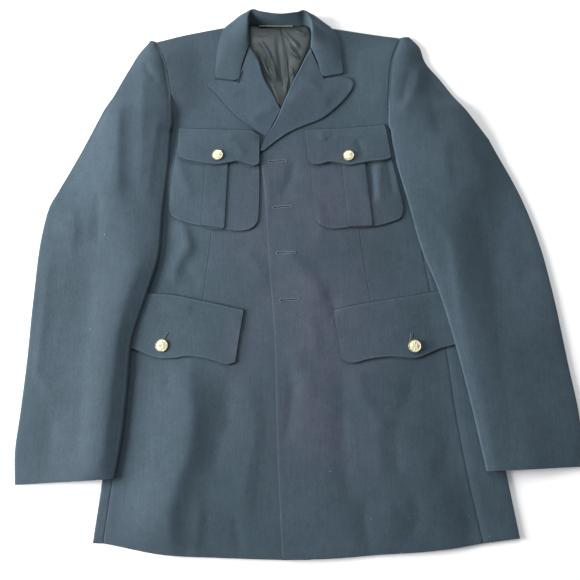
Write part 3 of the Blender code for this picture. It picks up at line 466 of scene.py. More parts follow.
def along(points, shares, straight=False):
    """Points at these shares of the length of a table's curve."""
    points = np.array(points, float)
    steps = np.linalg.norm(np.diff(points, axis=0), axis=1)
    knots = np.concatenate([[0.0], np.cumsum(steps)]) / steps.sum()
    cell = np.clip(np.searchsorted(knots, shares, side="right") - 1, 0, len(steps) - 1)
    span = (knots[cell + 1] - knots[cell])[:, None]
    u = (shares - knots[cell])[:, None] / span
    first = points[cell]
    last = points[cell + 1]
    if straight:
        return first + (last - first) * u
    slopes = np.gradient(points, knots, axis=0)
    return hermite(first, last, slopes[cell] * span, slopes[cell + 1] * span, u)


def even(count):
    """Even shares from 0 to 1."""
    return np.linspace(0, 1, count)


def patch(left, right, bottom, top, shares=None):
    """Coons patch: rows of points between four edges that share their corners."""
    t = even(len(left))[:, None, None]
    s = (even(len(bottom)) if shares is None else shares)[None, :, None]
    ruled = (1 - s) * left[:, None] + s * right[:, None]
    lofted = (1 - t) * bottom[None] + t * top[None]
    corners = ((1 - s) * (1 - t) * bottom[0] + s * (1 - t) * bottom[-1]
               + (1 - s) * t * top[0] + s * t * top[-1])
    return ruled + lofted - corners


def heights(grid, height):
    """The plan grid with a height at each point."""
    return np.dstack([grid, height])


def folds(x, y, table):
    """Troughs and ridges along bent lines, each side with its own width, fading out at both ends."""
    total = np.zeros_like(x)
    for points, left_width, right_width, height in table:
        runs = [math.hypot(bx - ax, by - ay) for (ax, ay), (bx, by) in zip(points, points[1:])]
        nearest = np.full_like(x, 1e6)
        share = np.zeros_like(x)
        sign = np.zeros_like(x)
        done = 0.0
        for (ax, ay), (bx, by), run in zip(points, points[1:], runs):
            ux = (bx - ax) / run
            uy = (by - ay) / run
            reached = np.clip((x - ax) * ux + (y - ay) * uy, 0, run)
            across = x - ax - ux * reached
            upward = y - ay - uy * reached
            gap = np.hypot(across, upward)
            closer = gap < nearest
            nearest = np.where(closer, gap, nearest)
            share = np.where(closer, (done + reached) / sum(runs), share)
            sign = np.where(closer, upward * ux - across * uy, sign)
            done += run
        blend = 0.5 + 0.5 * np.tanh(sign / FOLD_BLEND)
        width = left_width * (1 - blend) + right_width * blend
        reach = ease(*FOLD_IN, share) * (1 - ease(*FOLD_OUT, share))
        total += height * reach * np.exp(-FOLD_STEEPNESS * (nearest / width) ** FOLD_STEEPNESS)
    return total


def lap_rise(x, y):
    """How far the overlapping front is lifted by the front under it."""
    edge = np.interp(y, [row[0] for row in LAP_EDGE], [row[1] for row in LAP_EDGE])
    return OVERLAP_RISE * (1 - ease(edge + 2, edge + 2 + OVERLAP_RAMP, x))


def armhole_distance(x, y):
    """Distance across from the side seams and armholes of the fronts, positive inside."""
    right = np.array(FRONT_SEAM["right"][:-1] + ARMHOLE_LOWER["right"] + ARMHOLE_UPPER["right"][1:], float)
    left = np.array(FRONT_SEAM["left"][:-1] + ARMHOLE_LOWER["left"] + ARMHOLE_UPPER["left"][1:], float)
    return np.minimum(x - np.interp(y, right[:, 1], right[:, 0]), np.interp(y, left[:, 1], left[:, 0]) - x)


def below_shoulder(x, y):
    """Distance below the shoulder seams."""
    line = np.array(SHOULDER["right"] + SHOULDER["left"], float)
    return np.interp(x, line[:, 0], line[:, 1]) - y


def pad_rise(x, y):
    """Rise of the shoulder pads, highest at the armholes."""
    near = 1 - ease(0, PAD_REACH, np.abs(armhole_distance(x, y)))
    return PAD_LOFT * near * ease(*PAD_UP, y) * ease(*PAD_FROM_SHOULDER, below_shoulder(x, y))


def body_loft(x, y):
    """Loose cloth over the inner layers: a low dome below the waist, and the shoulder pads above."""
    level = CHEST_LOFT + (SKIRT_LOFT - CHEST_LOFT) * (1 - ease(*WAIST, y))
    from_shoulder = ease(*SHOULDER_DOME, below_shoulder(x, y))
    ends = ease(*HEM_DOME, y) * from_shoulder
    dome = ease(0, LOFT_REACH, armhole_distance(x, y)) * level
    creases = ease(2, 60, armhole_distance(x, y)) * folds(x, y, BODY_FOLDS)
    creased_ends = (0.4 + 0.6 * ease(*HEM_CREASE, y)) * from_shoulder
    return np.maximum(ends * dome + creased_ends * creases, 0.0) + pad_rise(x, y)


def body_under(side, x, y):
    """Underside height of a front panel."""
    height = FRONT_UNDER_Z + body_loft(x, y)
    return height + lap_rise(x, y) if side == "left" else height


def body_top(side, x, y):
    """Top height of a front panel."""
    return body_under(side, x, y) + CLOTH


def edge_distance(outline, x, y):
    """Distance outside a body outline that runs up the garment, across the x direction."""
    table = np.array(outline, float)
    return np.abs(x) - np.abs(np.interp(y, table[:, 1], table[:, 0]))


def sleeve_under(side, x, y, ramp=SLEEVE_RAMP):
    """Underside height of a sleeve: over the body, then down to the floor outside it."""
    armhole = ARMHOLE_LOWER[side] + ARMHOLE_UPPER[side][1:]
    lower = edge_distance(SIDE_FOLD[side], x, np.minimum(y, ARMPIT_LIMITS[1]))
    upper = edge_distance(armhole, x, np.maximum(y, ARMPIT_LIMITS[0]))
    blend = ease(*ARMPIT, y)
    outside = lower * (1 - blend) + np.minimum(lower + 12, upper) * blend
    rise = 1 - ease(4, 4 + ramp, outside)
    over_seam = 1 - ease(*ARMHOLE_SEAM, y)
    return SLEEVE_OVER_BODY_Z * rise * over_seam


def placed(grid):
    """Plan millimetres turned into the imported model's metres."""
    return (grid - SHIFT) / 1000


def spans(grid):
    """Distance across and along a sheet at each point, in metres."""
    across = np.linalg.norm(np.diff(grid, axis=1), axis=2)
    up = np.linalg.norm(np.diff(grid, axis=0), axis=2)
    u = np.concatenate([np.zeros((len(grid), 1)), np.cumsum(across, axis=1)], axis=1) / 1000
    v = np.concatenate([np.zeros((1, grid.shape[1])), np.cumsum(up, axis=0)], axis=0) / 1000
    return u - u[:, -1:] / 2, v


def new_piece(name, mesh, material):
    """An object at the origin for a finished mesh."""
    made = bpy.data.objects.new(name, mesh)
    bpy.context.scene.collection.objects.link(made)
    made.data.materials.append(material)
    return made


def finished(made):
    """Applies every modifier of a piece in turn and smooths its faces."""
    bpy.ops.object.select_all(action="DESELECT")
    made.select_set(True)
    bpy.context.view_layer.objects.active = made
    for modifier in list(made.modifiers):
        bpy.ops.object.modifier_apply(modifier=modifier.name)
    bpy.ops.object.shade_smooth_by_angle(angle=math.radians(50))
    made.select_set(False)
    return made


def sew(name, node, grid, thickness, material, rests_on=(), slot="wool", outside=False, held="laid",
        rounded=EDGE_ROUND, outline=1.0):
    """One cut of cloth: a fine grid with its grain map and an edge mask for its painted rims of shade and
    highlight, thickened and rounded at its edges.
    """
    rows, columns = grid.shape[:2]
    points = placed(grid).reshape(-1, 3)
    index = np.arange(rows * columns).reshape(rows, columns)
    corners = (index[:-1, :-1], index[:-1, 1:], index[1:, 1:], index[1:, :-1])
    faces = np.stack(corners, axis=-1).reshape(-1, 4)
    mesh = bpy.data.meshes.new(name)
    mesh.from_pydata(points.tolist(), [], faces.tolist())
    u, v = spans(grid)
    across = u - u[:, :1]
    width = across[:, -1:]
    height = v[-1:]
    # Distance in from the edge, for the painted rims; outline scales their width, and 0 leaves them off
    edge = np.minimum(np.minimum(across, SHADED_SIDE * (width - across)), np.minimum(v, height - v)) * 1000
    border = np.clip(edge / outline, 0.0, RIM) if outline else np.full_like(edge, RIM)
    grain = mesh.uv_layers.new(name="Grain")
    loops = np.empty(len(mesh.loops), int)
    mesh.loops.foreach_get("vertex_index", loops)
    grain.data.foreach_set("uv", np.stack([u.ravel()[loops], v.ravel()[loops]], axis=1).ravel())
    mask = mesh.attributes.new("border", "FLOAT", "POINT")
    mask.data.foreach_set("value", border.ravel())
    made = new_piece(name, mesh, material)
    wall = made.modifiers.new("Cloth", "SOLIDIFY")
    wall.thickness = thickness / 1000
    wall.offset = -1.0 if outside else 1.0
    if rounded:
        edges = made.modifiers.new("Edges", "BEVEL")
        edges.width = rounded / 1000
        edges.segments = 2
        edges.limit_method = "ANGLE"
        edges.angle_limit = math.radians(60)
    finished(made)
    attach(made, "root")
    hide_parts(node)


def sew_side(side, cloth, node, grid, thickness, material, carrier="", **ways):
    """Sews one of a pair of cuts, which lies on the same side's carrier."""
    rests_on = [f"{carrier}_{side}"] if carrier else []
    sew(f"{cloth}_{side}", f"{node}_{side}", grid, thickness, material, rests_on, **ways)


class NodeBench:
    """A small bench for laying shader nodes out and joining them."""

    def __init__(self, tree):
        self.tree = tree

    def add(self, kind, **settings):
        made = self.tree.nodes.new(kind)
        count = len(self.tree.nodes)
        made.location = (count * 190, -120 * (count % 6))
        for name, value in settings.items():
            setattr(made, name, value)
        return made

    def join(self, source, target):
        self.tree.links.new(source, target)

    def fill(self, sockets, values):
        for socket, value in zip(sockets, values):
            if isinstance(value, (int, float, tuple)):
                socket.default_value = value
            else:
                self.join(value, socket)

    def maths(self, operation, *values, clamp=False):
        made = self.add("ShaderNodeMath", operation=operation, use_clamp=clamp)
        self.fill(made.inputs, values)
        return made.outputs[0]

    def mix(self, factor, first, second, blend="MIX"):
        made = self.add("ShaderNodeMix", data_type="RGBA", blend_type=blend)
        self.fill((made.inputs[0], made.inputs[6], made.inputs[7]), (factor, first, second))
        return made.outputs[2]

    def vector(self, operation, first, second, output=0):
        made = self.add("ShaderNodeVectorMath", operation=operation)
        self.fill(made.inputs, (first, second))
        return made.outputs[output]

    def grey(self, value):
        made = self.add("ShaderNodeCombineColor")
        self.fill(made.inputs, (value, value, value))
        return made.outputs[0]

    def noise(self, vector, scale, detail=2.0, rough=0.5):
        made = self.add("ShaderNodeTexNoise")
        names = ("Vector", "Scale", "Detail", "Roughness")
        self.fill([made.inputs[name] for name in names], (vector, scale, detail, rough))
        return made.outputs["Fac"]

    def between(self, value, low, high, to_low=0.0, to_high=1.0):
        made = self.add("ShaderNodeMapRange", interpolation_type="SMOOTHSTEP")
        names = ("Value", "From Min", "From Max", "To Min", "To Max")
        self.fill([made.inputs[name] for name in names], (value, low, high, to_low, to_high))
        return made.outputs["Result"]


def new_group(name, inputs, outputs):
    """An empty shader node group with these sockets."""
    group = bpy.data.node_groups.new(name, "ShaderNodeTree")
    for socket, kind, value in inputs:
        made = group.interface.new_socket(name=socket, in_out="INPUT", socket_type=kind)
        if value is not None:
            made.default_value = value
    for socket, kind in outputs:
        group.interface.new_socket(name=socket, in_out="OUTPUT", socket_type=kind)
    bench = NodeBench(group)
    start = bench.add("NodeGroupInput")
    end = bench.add("NodeGroupOutput")
    return group, bench, start, end


def twill_group():
    """Steep diagonal wales of gabardine, broken along each yarn."""
    if "Twill weave" in bpy.data.node_groups:
        return bpy.data.node_groups["Twill weave"]
    group, bench, start, end = new_group(
        "Twill weave",
        (("Grain", "NodeSocketVector", None), ("Wale", "NodeSocketFloat", 0.0007),
         ("Steepness", "NodeSocketFloat", 1.1)),
        (("Height", "NodeSocketFloat"), ("Shade", "NodeSocketFloat")))
    maths = bench.maths
    split = bench.add("ShaderNodeSeparateXYZ")
    bench.join(start.outputs["Grain"], split.inputs[0])
    x, y = split.outputs[:2]
    sine = maths("SINE", start.outputs["Steepness"])
    cosine = maths("COSINE", start.outputs["Steepness"])
    uneven = bench.noise(start.outputs["Grain"], 260.0, 2.0)
    shift = maths("MULTIPLY", maths("SUBTRACT", uneven, 0.5), 3.0)
    across = maths("SUBTRACT", maths("MULTIPLY", x, sine), maths("MULTIPLY", y, cosine))
    up = maths("ADD", maths("MULTIPLY", x, cosine), maths("MULTIPLY", y, sine))
    turns = maths("DIVIDE", FULL_TURN, start.outputs["Wale"])
    wales = maths("MULTIPLY", across, turns)
    wale = maths("SINE", maths("ADD", wales, shift))
    yarn = maths("SINE", maths("ADD", maths("MULTIPLY", up, maths("MULTIPLY", turns, 0.6)), wales))
    height = maths("ADD", maths("MULTIPLY", wale, 0.38), maths("MULTIPLY", yarn, 0.12))
    height = maths("ADD", height, 0.5)
    bench.join(height, end.inputs["Height"])
    bench.join(bench.between(height, 0.0, 1.0, 0.86, 1.1), end.inputs["Shade"])
    return group


def tone_group():
    """Broad and small colour variation of piece-dyed cloth, with a weak patchy violet tint all over and, in
    the middle of the waist, a stronger one painted as the warmer light's tint.
    """
    if "Cloth tone" in bpy.data.node_groups:
        return bpy.data.node_groups["Cloth tone"]
    group, bench, start, end = new_group(
        "Cloth tone",
        (("Place", "NodeSocketVector", None), ("Deep", "NodeSocketColor", (0.06, 0.08, 0.11, 1)),
         ("Light", "NodeSocketColor", (0.09, 0.12, 0.16, 1)),
         ("Cast", "NodeSocketColor", (0.09, 0.1, 0.15, 1))),
        (("Color", "NodeSocketColor"), ("Mottle", "NodeSocketFloat")))
    maths = bench.maths
    place = start.outputs["Place"]
    broad = bench.noise(place, 5.0, 3.0, 0.55)
    small = bench.noise(place, 60.0, 4.0, 0.6)
    fine = bench.noise(place, 420.0, 2.0, 0.6)
    cast = bench.noise(place, 9.0, 2.0, 0.5)
    streak = bench.noise(bench.vector("MULTIPLY", place, WARP_STRETCH), 480.0, 2.0, 0.6)
    base = bench.mix(bench.between(broad, 0.3, 0.7), start.outputs["Deep"], start.outputs["Light"])
    split = bench.add("ShaderNodeSeparateXYZ")
    bench.join(place, split.inputs[0])
    x, y = split.outputs[:2]
    # Painted light tint: violet in the middle of the waist, for the warmer light there; elsewhere only the
    # weak patchy tint
    from_middle = maths("ABSOLUTE", maths("SUBTRACT", x, 0.01))
    middle = bench.between(from_middle, 0.02, 0.18, 0.85, 0.0)
    waist = maths("MULTIPLY", bench.between(y, -0.36, -0.22), bench.between(y, 0.1, 0.24, 1.0, 0.0))
    everywhere = maths("MAXIMUM", maths("MULTIPLY", middle, waist), LEAST_CAST)
    patchy = maths("MULTIPLY", bench.between(cast, 0.3, 0.6, 0.35, 1.0), everywhere)
    tinted = bench.mix(patchy, base, start.outputs["Cast"])
    mottle = bench.between(small, 0.25, 0.75, 0.92, 1.06)
    mottle = maths("ADD", mottle, bench.between(fine, 0.25, 0.75, -0.12, 0.12))
    mottle = maths("ADD", mottle, bench.between(streak, 0.25, 0.75, -0.07, 0.07))
    bench.join(bench.mix(1.0, tinted, bench.grey(mottle), "MULTIPLY"), end.inputs["Color"])
    bench.join(mottle, end.inputs["Mottle"])
    return group


def lint_group():
    """Scattered pale lint and dust caught on the nap."""
    if "Lint" in bpy.data.node_groups:
        return bpy.data.node_groups["Lint"]
    group, bench, start, end = new_group(
        "Lint",
        (("Place", "NodeSocketVector", None), ("Spacing", "NodeSocketFloat", 55.0),
         ("Amount", "NodeSocketFloat", 0.5)),
        (("Mask", "NodeSocketFloat"),))
    cells = bench.add("ShaderNodeTexVoronoi", feature="F1")
    bench.join(start.outputs["Place"], cells.inputs["Vector"])
    bench.join(start.outputs["Spacing"], cells.inputs["Scale"])
    split = bench.add("ShaderNodeSeparateColor")
    bench.join(cells.outputs["Color"], split.inputs[0])
    dot = bench.between(cells.outputs["Distance"], 0.012, 0.05, 1.0, 0.0)
    chosen = bench.maths("LESS_THAN", split.outputs[0], start.outputs["Amount"])
    patchy = bench.between(bench.noise(start.outputs["Place"], 7.0, 1.0), 0.5, 0.62)
    bench.join(bench.maths("MULTIPLY", bench.maths("MULTIPLY", dot, chosen), patchy), end.inputs["Mask"])
    return group


def seam_group():
    """Mask of one straight sewn line between two points, softened to a set width."""
    if "Sewn line" in bpy.data.node_groups:
        return bpy.data.node_groups["Sewn line"]
    group, bench, start, end = new_group(
        "Sewn line",
        (("Place", "NodeSocketVector", None), ("From", "NodeSocketVector", None),
         ("To", "NodeSocketVector", None), ("Width", "NodeSocketFloat", 0.001)),
        (("Mask", "NodeSocketFloat"),))
    run = bench.vector("SUBTRACT", start.outputs["To"], start.outputs["From"])
    reach = bench.vector("SUBTRACT", start.outputs["Place"], start.outputs["From"])
    flat = bench.vector("MULTIPLY", reach, (1, 1, 0))
    along_run = bench.vector("DOT_PRODUCT", flat, run, "Value")
    size = bench.vector("DOT_PRODUCT", run, run, "Value")
    share = bench.maths("DIVIDE", along_run, size, clamp=True)
    near = bench.add("ShaderNodeVectorMath", operation="SCALE")
    bench.join(run, near.inputs[0])
    bench.join(share, near.inputs["Scale"])
    gap = bench.vector("DISTANCE", flat, near.outputs[0], "Value")
    scaled = bench.maths("DIVIDE", gap, start.outputs["Width"])
    bench.join(bench.between(scaled, 0.25, 1.0, 1.0, 0.0), end.inputs["Mask"])
    return group


def use_group(bench, group, **values):
    """Places a node group in a material with its own values."""
    made = bench.add("ShaderNodeGroup", node_tree=group)
    for name, value in values.items():
        socket = made.inputs[name]
        if isinstance(value, bpy.types.NodeSocket):
            bench.join(value, socket)
        else:
            socket.default_value = value
    return made


def metres(point):
    """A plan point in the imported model's metres, on the floor."""
    return ((point[0] - SHIFT[0]) / 1000, (point[1] - SHIFT[1]) / 1000, 0.0)


def new_material(name):
    """A node material with its bench, its shader and the object's coordinates."""
    made = bpy.data.materials.new(name)
    made.use_nodes = True
    bench = NodeBench(made.node_tree)
    shader = made.node_tree.nodes["Principled BSDF"]
    return made, bench, shader, bench.add("ShaderNodeTexCoord").outputs["Object"]


def grain_map(bench):
    """The cloth's own map of distances across and along it."""
    return bench.add("ShaderNodeUVMap", uv_map="Grain").outputs[0]


def add_bump(bench, shader, height, distance, strength):
    """Raises the surface by a height map."""
    bump = bench.add("ShaderNodeBump")
    set_sockets(bump, Distance=distance, Strength=strength)
    bench.join(height, bump.inputs["Height"])
    bench.join(bump.outputs[0], shader.inputs["Normal"])


def set_sockets(node, **values):
    """Sets plain values on a node's sockets, with _ for each space in a name."""
    for name, value in values.items():
        node.inputs[name.replace("_", " ")].default_value = value


def wool_material(name, deep, lines=()):
    """Gabardine wool: twill bump, dyed tone, painted shade and a painted highlight along its rims, lint and
    sewn lines.
    """
    if name in bpy.data.materials:
        return bpy.data.materials[name]
    made, bench, shader, place = new_material(name)
    cloth = bpy.context.scene.jacket_cloth
    maths = bench.maths
    border = bench.add("ShaderNodeAttribute", attribute_name="border").outputs["Fac"]
    tone = use_group(bench, tone_group(), Place=place, Deep=deep, Light=tuple(cloth.light),
                     Cast=tuple(cloth.cast))
    twill = use_group(bench, twill_group(), Grain=grain_map(bench), Wale=cloth.wale)
    lint = use_group(bench, lint_group(), Place=place, Spacing=75.0, Amount=0.16)
    colour = bench.mix(1.0, tone.outputs["Color"], bench.grey(twill.outputs["Shade"]), "MULTIPLY")
    # Painted highlight: a pale band just inside the edge, for the light a rounded edge catches
    painted_highlight = maths("MULTIPLY", bench.between(border, 0.9, 1.4), bench.between(border, 1.6, 2.8, 0.09, 0.0))
    colour = bench.mix(painted_highlight, colour, PAINTED_HIGHLIGHT_RIM)
    # Painted shade: the darkest band at the very edge, for the shadow where the cut meets the cloth under it
    colour = bench.mix(bench.between(border, 0.3, 1.15, 0.88, 0.0), colour, SHADED_RIM)
    height = maths("MULTIPLY", twill.outputs["Height"], 0.00012)
    for start, end in lines:
        line = use_group(bench, seam_group(), Place=place, From=metres(start), To=metres(end), Width=0.0011)
        colour = bench.mix(maths("MULTIPLY", line.outputs["Mask"], 0.55), colour, SEWN_LINE)
        height = maths("SUBTRACT", height, maths("MULTIPLY", line.outputs["Mask"], 0.0005))
    bench.join(bench.mix(lint.outputs["Mask"], colour, LINT), shader.inputs["Base Color"])
    fuzz = bench.noise(place, 620.0, 3.0, 0.65)
    slub = bench.noise(place, 190.0, 2.0, 0.5)
    height = maths("ADD", height, maths("MULTIPLY", fuzz, 0.0002))
    height = maths("ADD", height, maths("MULTIPLY", slub, 0.00045))
    add_bump(bench, shader, height, 1.0, 0.55)
    bench.join(bench.between(twill.outputs["Height"], 0.0, 1.0, 0.84, 0.70), shader.inputs["Roughness"])
    set_sockets(shader, Specular_IOR_Level=0.25, Sheen_Weight=0.25, Sheen_Roughness=0.45, Sheen_Tint=NAP_TINT)
    return made


def satin_material():
    """Lining twill with a soft lengthwise gloss, its seam, and a pale strip by the right lapel's roll painted
    as a highlight.
    """
    if "satin_lining" in bpy.data.materials:
        return bpy.data.materials["satin_lining"]
    made, bench, shader, place = new_material("satin_lining")
    tone = use_group(bench, tone_group(), Place=place, Deep=SATIN[0], Light=SATIN[1], Cast=SATIN[2])
    twill = use_group(bench, twill_group(), Grain=grain_map(bench), Wale=0.00042, Steepness=0.8)
    colour = tone.outputs["Color"]
    for start, end, width, share, tint in LINING_LINES:
        line = use_group(bench, seam_group(), Place=place, From=metres(start), To=metres(end), Width=width)
        colour = bench.mix(bench.maths("MULTIPLY", line.outputs["Mask"], share), colour, tint)
    bench.join(colour, shader.inputs["Base Color"])
    crumple = bench.noise(place, 60.0, 3.0)
    height = bench.maths("ADD", bench.maths("MULTIPLY", twill.outputs["Height"], 0.00004),
                         bench.maths("MULTIPLY", crumple, 0.0006))
    add_bump(bench, shader, height, 1.0, 0.6)
    bench.join(bench.between(crumple, 0.3, 0.7, 0.32, 0.44), shader.inputs["Roughness"])
    set_sockets(shader, Specular_IOR_Level=0.36, Specular_Tint=SATIN_GLOSS, Sheen_Weight=0.05)
    return made


def tape_material():
    """Bare woven label tape."""
    if "label_tape" in bpy.data.materials:
        return bpy.data.materials["label_tape"]
    made, bench, shader, place = new_material("label_tape")
    tone = use_group(bench, tone_group(), Place=place, Deep=TAPE[0], Light=TAPE[1], Cast=TAPE[2])
    twill = use_group(bench, twill_group(), Grain=grain_map(bench), Wale=0.0005, Steepness=0.4)
    bench.join(tone.outputs["Color"], shader.inputs["Base Color"])
    add_bump(bench, shader, twill.outputs["Height"], 0.0001, 0.6)
    bench.join(bench.between(twill.outputs["Height"], 0.0, 1.0, 0.7, 0.55), shader.inputs["Roughness"])
    return made


def thread_material(name, colour, gloss):
    """Twisted buttonhole thread; the same material in near-black is the painted shade in a buttonhole's slit.
    """
    if name in bpy.data.materials:
        return bpy.data.materials[name]
    made, bench, shader, place = new_material(name)
    speck = bench.noise(place, 1500.0, 2.0)
    darker = tuple(c * 0.6 for c in colour[:3]) + (1.0,)
    bench.join(bench.mix(bench.between(speck, 0.3, 0.7), darker, colour), shader.inputs["Base Color"])
    bench.join(bench.between(speck, 0.2, 0.8, 0.45, 0.65), shader.inputs["Roughness"])
    set_sockets(shader, Specular_IOR_Level=gloss)
    add_bump(bench, shader, speck, 0.0001, 0.5)
    return made


def brass_material(name, deep, light):
    """Gilt metal whose colour and satin roughness vary in patches."""
    if name in bpy.data.materials:
        return bpy.data.materials[name]
    made, bench, shader, place = new_material(name)
    worn = bench.noise(place, 380.0, 3.0)
    fine = bench.noise(place, 2600.0, 2.0)
    bench.join(bench.mix(bench.between(worn, 0.35, 0.65), deep, light), shader.inputs["Base Color"])
    bench.join(bench.between(worn, 0.3, 0.7, 0.58, 0.42), shader.inputs["Roughness"])
    set_sockets(shader, Metallic=0.45)
    add_bump(bench, shader, fine, 0.00008, 0.6)
    return made


def shell_wool():
    """Wool of the fronts, with the dart seams."""
    return wool_material("wool_front", tuple(bpy.context.scene.jacket_cloth.deep), DART_LINES)


def plain_wool():
    """Wool of every other piece of the shell."""
    return wool_material("wool_shell", tuple(bpy.context.scene.jacket_cloth.deep))


def facing_wool():
    """Bluer wool of the lapel facings."""
    return wool_material("wool_facing", tuple(bpy.context.scene.jacket_cloth.facing))


def back_side_points(side):
    """Edge that a back half shares with its side panel, up to the foot of the armhole."""
    sign = OUTWARD[side]
    fold = np.array(SIDE_FOLD[side], float)
    return np.vstack([fold[:-1] + (-sign * BACK_WRAP, 0.0),
                      fold[-1:] + (-sign * PIT_OFFSET[0], PIT_OFFSET[1])])


def back_grid(side):
    """Back half from its side seam to the centre back seam."""
    sign = OUTWARD[side]
    back_side = back_side_points(side)
    lower = along((back_side[-1], ARMHOLE_UPPER[side][0]), even(BACK_ROWS[1]), True)[1:]
    upper = along(ARMHOLE_UPPER[side], even(BACK_ROWS[2]))[1:]
    outer = np.vstack([along(back_side, even(BACK_ROWS[0])), lower, upper])
    seam_side = along(BACK_SEAM, even(len(outer))) + (sign * SEAM_GAP / 2, 0)
    line = SHOULDER[side] if side == "right" else SHOULDER[side][::-1]
    top = along(line + (SHOULDER_MIDDLE,), even(BACK_COLUMNS))
    top[0] = outer[-1]
    top[-1] = seam_side[-1]
    bottom = np.linspace(outer[0], seam_side[0], BACK_COLUMNS)
    bottom[:, 1] -= HEM_SAG * np.sin(np.pi * even(BACK_COLUMNS))
    plan = patch(outer, seam_side, bottom, top)
    grid = heights(plan, np.zeros(plan.shape[:2]))
    return grid if side == "right" else grid[:, ::-1]


def side_grid(side):
    """Side panel, wrapped round the side fold from the front seam to the back."""
    sign = OUTWARD[side]
    t = even(SIDE_ROWS)
    radius = BODY_TOP_Z / 2
    fold_line = along(SIDE_FOLD[side], t)
    seam_line = along(FRONT_SEAM[side], t) + (sign * SEAM_GAP, 0)
    back_line = along(back_side_points(side), t) + (sign * SEAM_GAP, 0)
    ledge = fold_line - (sign * radius, 0)
    stations = [(seam_line + (ledge - seam_line) * share, BODY_TOP_Z) for share in SIDE_SHARES[:-1]]
    for turn in np.linspace(0, math.pi, SIDE_TURNS):
        outward = sign * radius * (math.sin(turn) - 1)
        stations.append((fold_line + (outward, 0), radius + radius * math.cos(turn)))
    stations += [(ledge + (back_line - ledge) * share, 0.0) for share in SIDE_SHARES[1:]]
    columns = [heights(plan[:, None], np.full((SIDE_ROWS, 1), level)) for plan, level in stations]
    wrap = np.concatenate(columns, axis=1)
    return wrap[:, ::-1] if side == "right" else wrap


def front_grid(side):
    """Front panel, its underside raised over what lies under it."""
    outer = np.vstack([along(FRONT_SEAM[side], even(FRONT_ROWS[0])),
                       along(ARMHOLE_LOWER[side], even(FRONT_ROWS[1]))[1:],
                       along(ARMHOLE_UPPER[side], even(FRONT_ROWS[2]))[1:]])
    inner = np.vstack([along(FRONT_EDGE[side], even(FRONT_EDGE_ROWS[0])),
                       along(NECK_EDGE[side], even(FRONT_EDGE_ROWS[1]))[1:]])
    left, right = (outer, inner) if side == "right" else (inner, outer)
    columns = even(FRONT_COLUMNS)
    grid = patch(left, right, along(HEM[side], columns), along(SHOULDER[side], columns))
    return heights(grid, body_under(side, grid[..., 0], grid[..., 1]))


def sleeve_rows(side):
    """Outer and inner edge of a sleeve row by row, its width and the direction across it."""
    seam_points = along(ARMHOLE_UPPER[side], even(SLEEVE_ROWS[1]))
    tucked = SLEEVE_TUCK * (1 - ease(*TUCKED, seam_points[:, 1]))
    seam_points[:, 0] += OUTWARD[side] * (SEAM_GAP + 0.1 - tucked)
    t = even(SLEEVE_ROWS[0])
    outside = np.vstack([along(SLEEVE_OUTER[side], t), along(SLEEVE_HEAD[side], even(SLEEVE_ROWS[1]))[1:]])
    inside = np.vstack([along(SLEEVE_INNER[side], t)[:-1], seam_points])
    width = np.linalg.norm(inside - outside, axis=1)
    return outside, inside, width, (inside - outside) / width[:, None]


def sleeve_top_grid(side):
    """Top sleeve, curled over both of its folds."""
    outside, inside, width, direction = sleeve_rows(side)
    armhole_share = ease(*ARMHOLE_CLOSED, inside[:, 1])[:, None]
    lower_share = 1 - ease(*SLEEVE_LOWER, inside[:, 1])[:, None]
    curl = direction * np.minimum(SLEEVE_CURL, width / 8)[:, None]
    flat = even(SLEEVE_COLUMNS)
    quarter = np.linspace(0, math.pi / 2, SLEEVE_TURNS + 1)[:-1]
    turn = np.sin(quarter)
    lift = 1 - np.cos(quarter)
    starts = outside[:, None] + curl[:, None] * lift[None, :, None]
    middle = (outside + curl)[:, None] + (inside - outside - 2 * curl)[:, None] * flat[None, :, None]
    ends = inside[:, None] - curl[:, None] * lift[None, ::-1, None]
    plan = np.concatenate([starts, middle, ends], axis=1)
    rise = np.concatenate([turn, np.ones(SLEEVE_COLUMNS), turn[::-1]])
    share = np.concatenate([np.zeros(SLEEVE_TURNS), flat, np.ones(SLEEVE_TURNS)])
    under = sleeve_under(side, plan[..., 0], plan[..., 1], SLEEVE_BRIDGE)
    under[:, :SLEEVE_TURNS] = under[:, SLEEVE_TURNS:SLEEVE_TURNS + 1]
    under[:, -SLEEVE_TURNS:] = under[:, -SLEEVE_TURNS - 1:-SLEEVE_TURNS]
    span = np.clip(width / 60, 0.15, 1.0)[:, None]
    skew = SLEEVE_SKEW + LOWER_SKEW[side] * lower_share
    crown = np.sin(np.pi * share[None, :] ** skew) ** 0.7 * SLEEVE_LOFT * span
    crown = crown * (1 + LOWER_RISE[side] * lower_share)
    middle_share = ease(0, 0.14, share) * (1 - ease(0.86, 1.0, share))
    creases = folds(plan[..., 0], plan[..., 1], SLEEVE_FOLDS[side]) * middle_share[None, :] * span
    crown = np.maximum(crown + creases * ease(*CUFF_CREASE, plan[..., 1]), 0.15 * crown)
    at_armhole = np.where(share[None, :] > 0.5, 1 - armhole_share, 1.0)
    pad = pad_rise(plan[..., 0], plan[..., 1])
    top = under + 2 * CLOTH + LAYER_GAP + crown + pad - SLEEVE_FALL * (1 - rise)[None, :] * at_armhole
    grid = heights(plan, top)
    return grid[:, ::-1] if side == "left" else grid


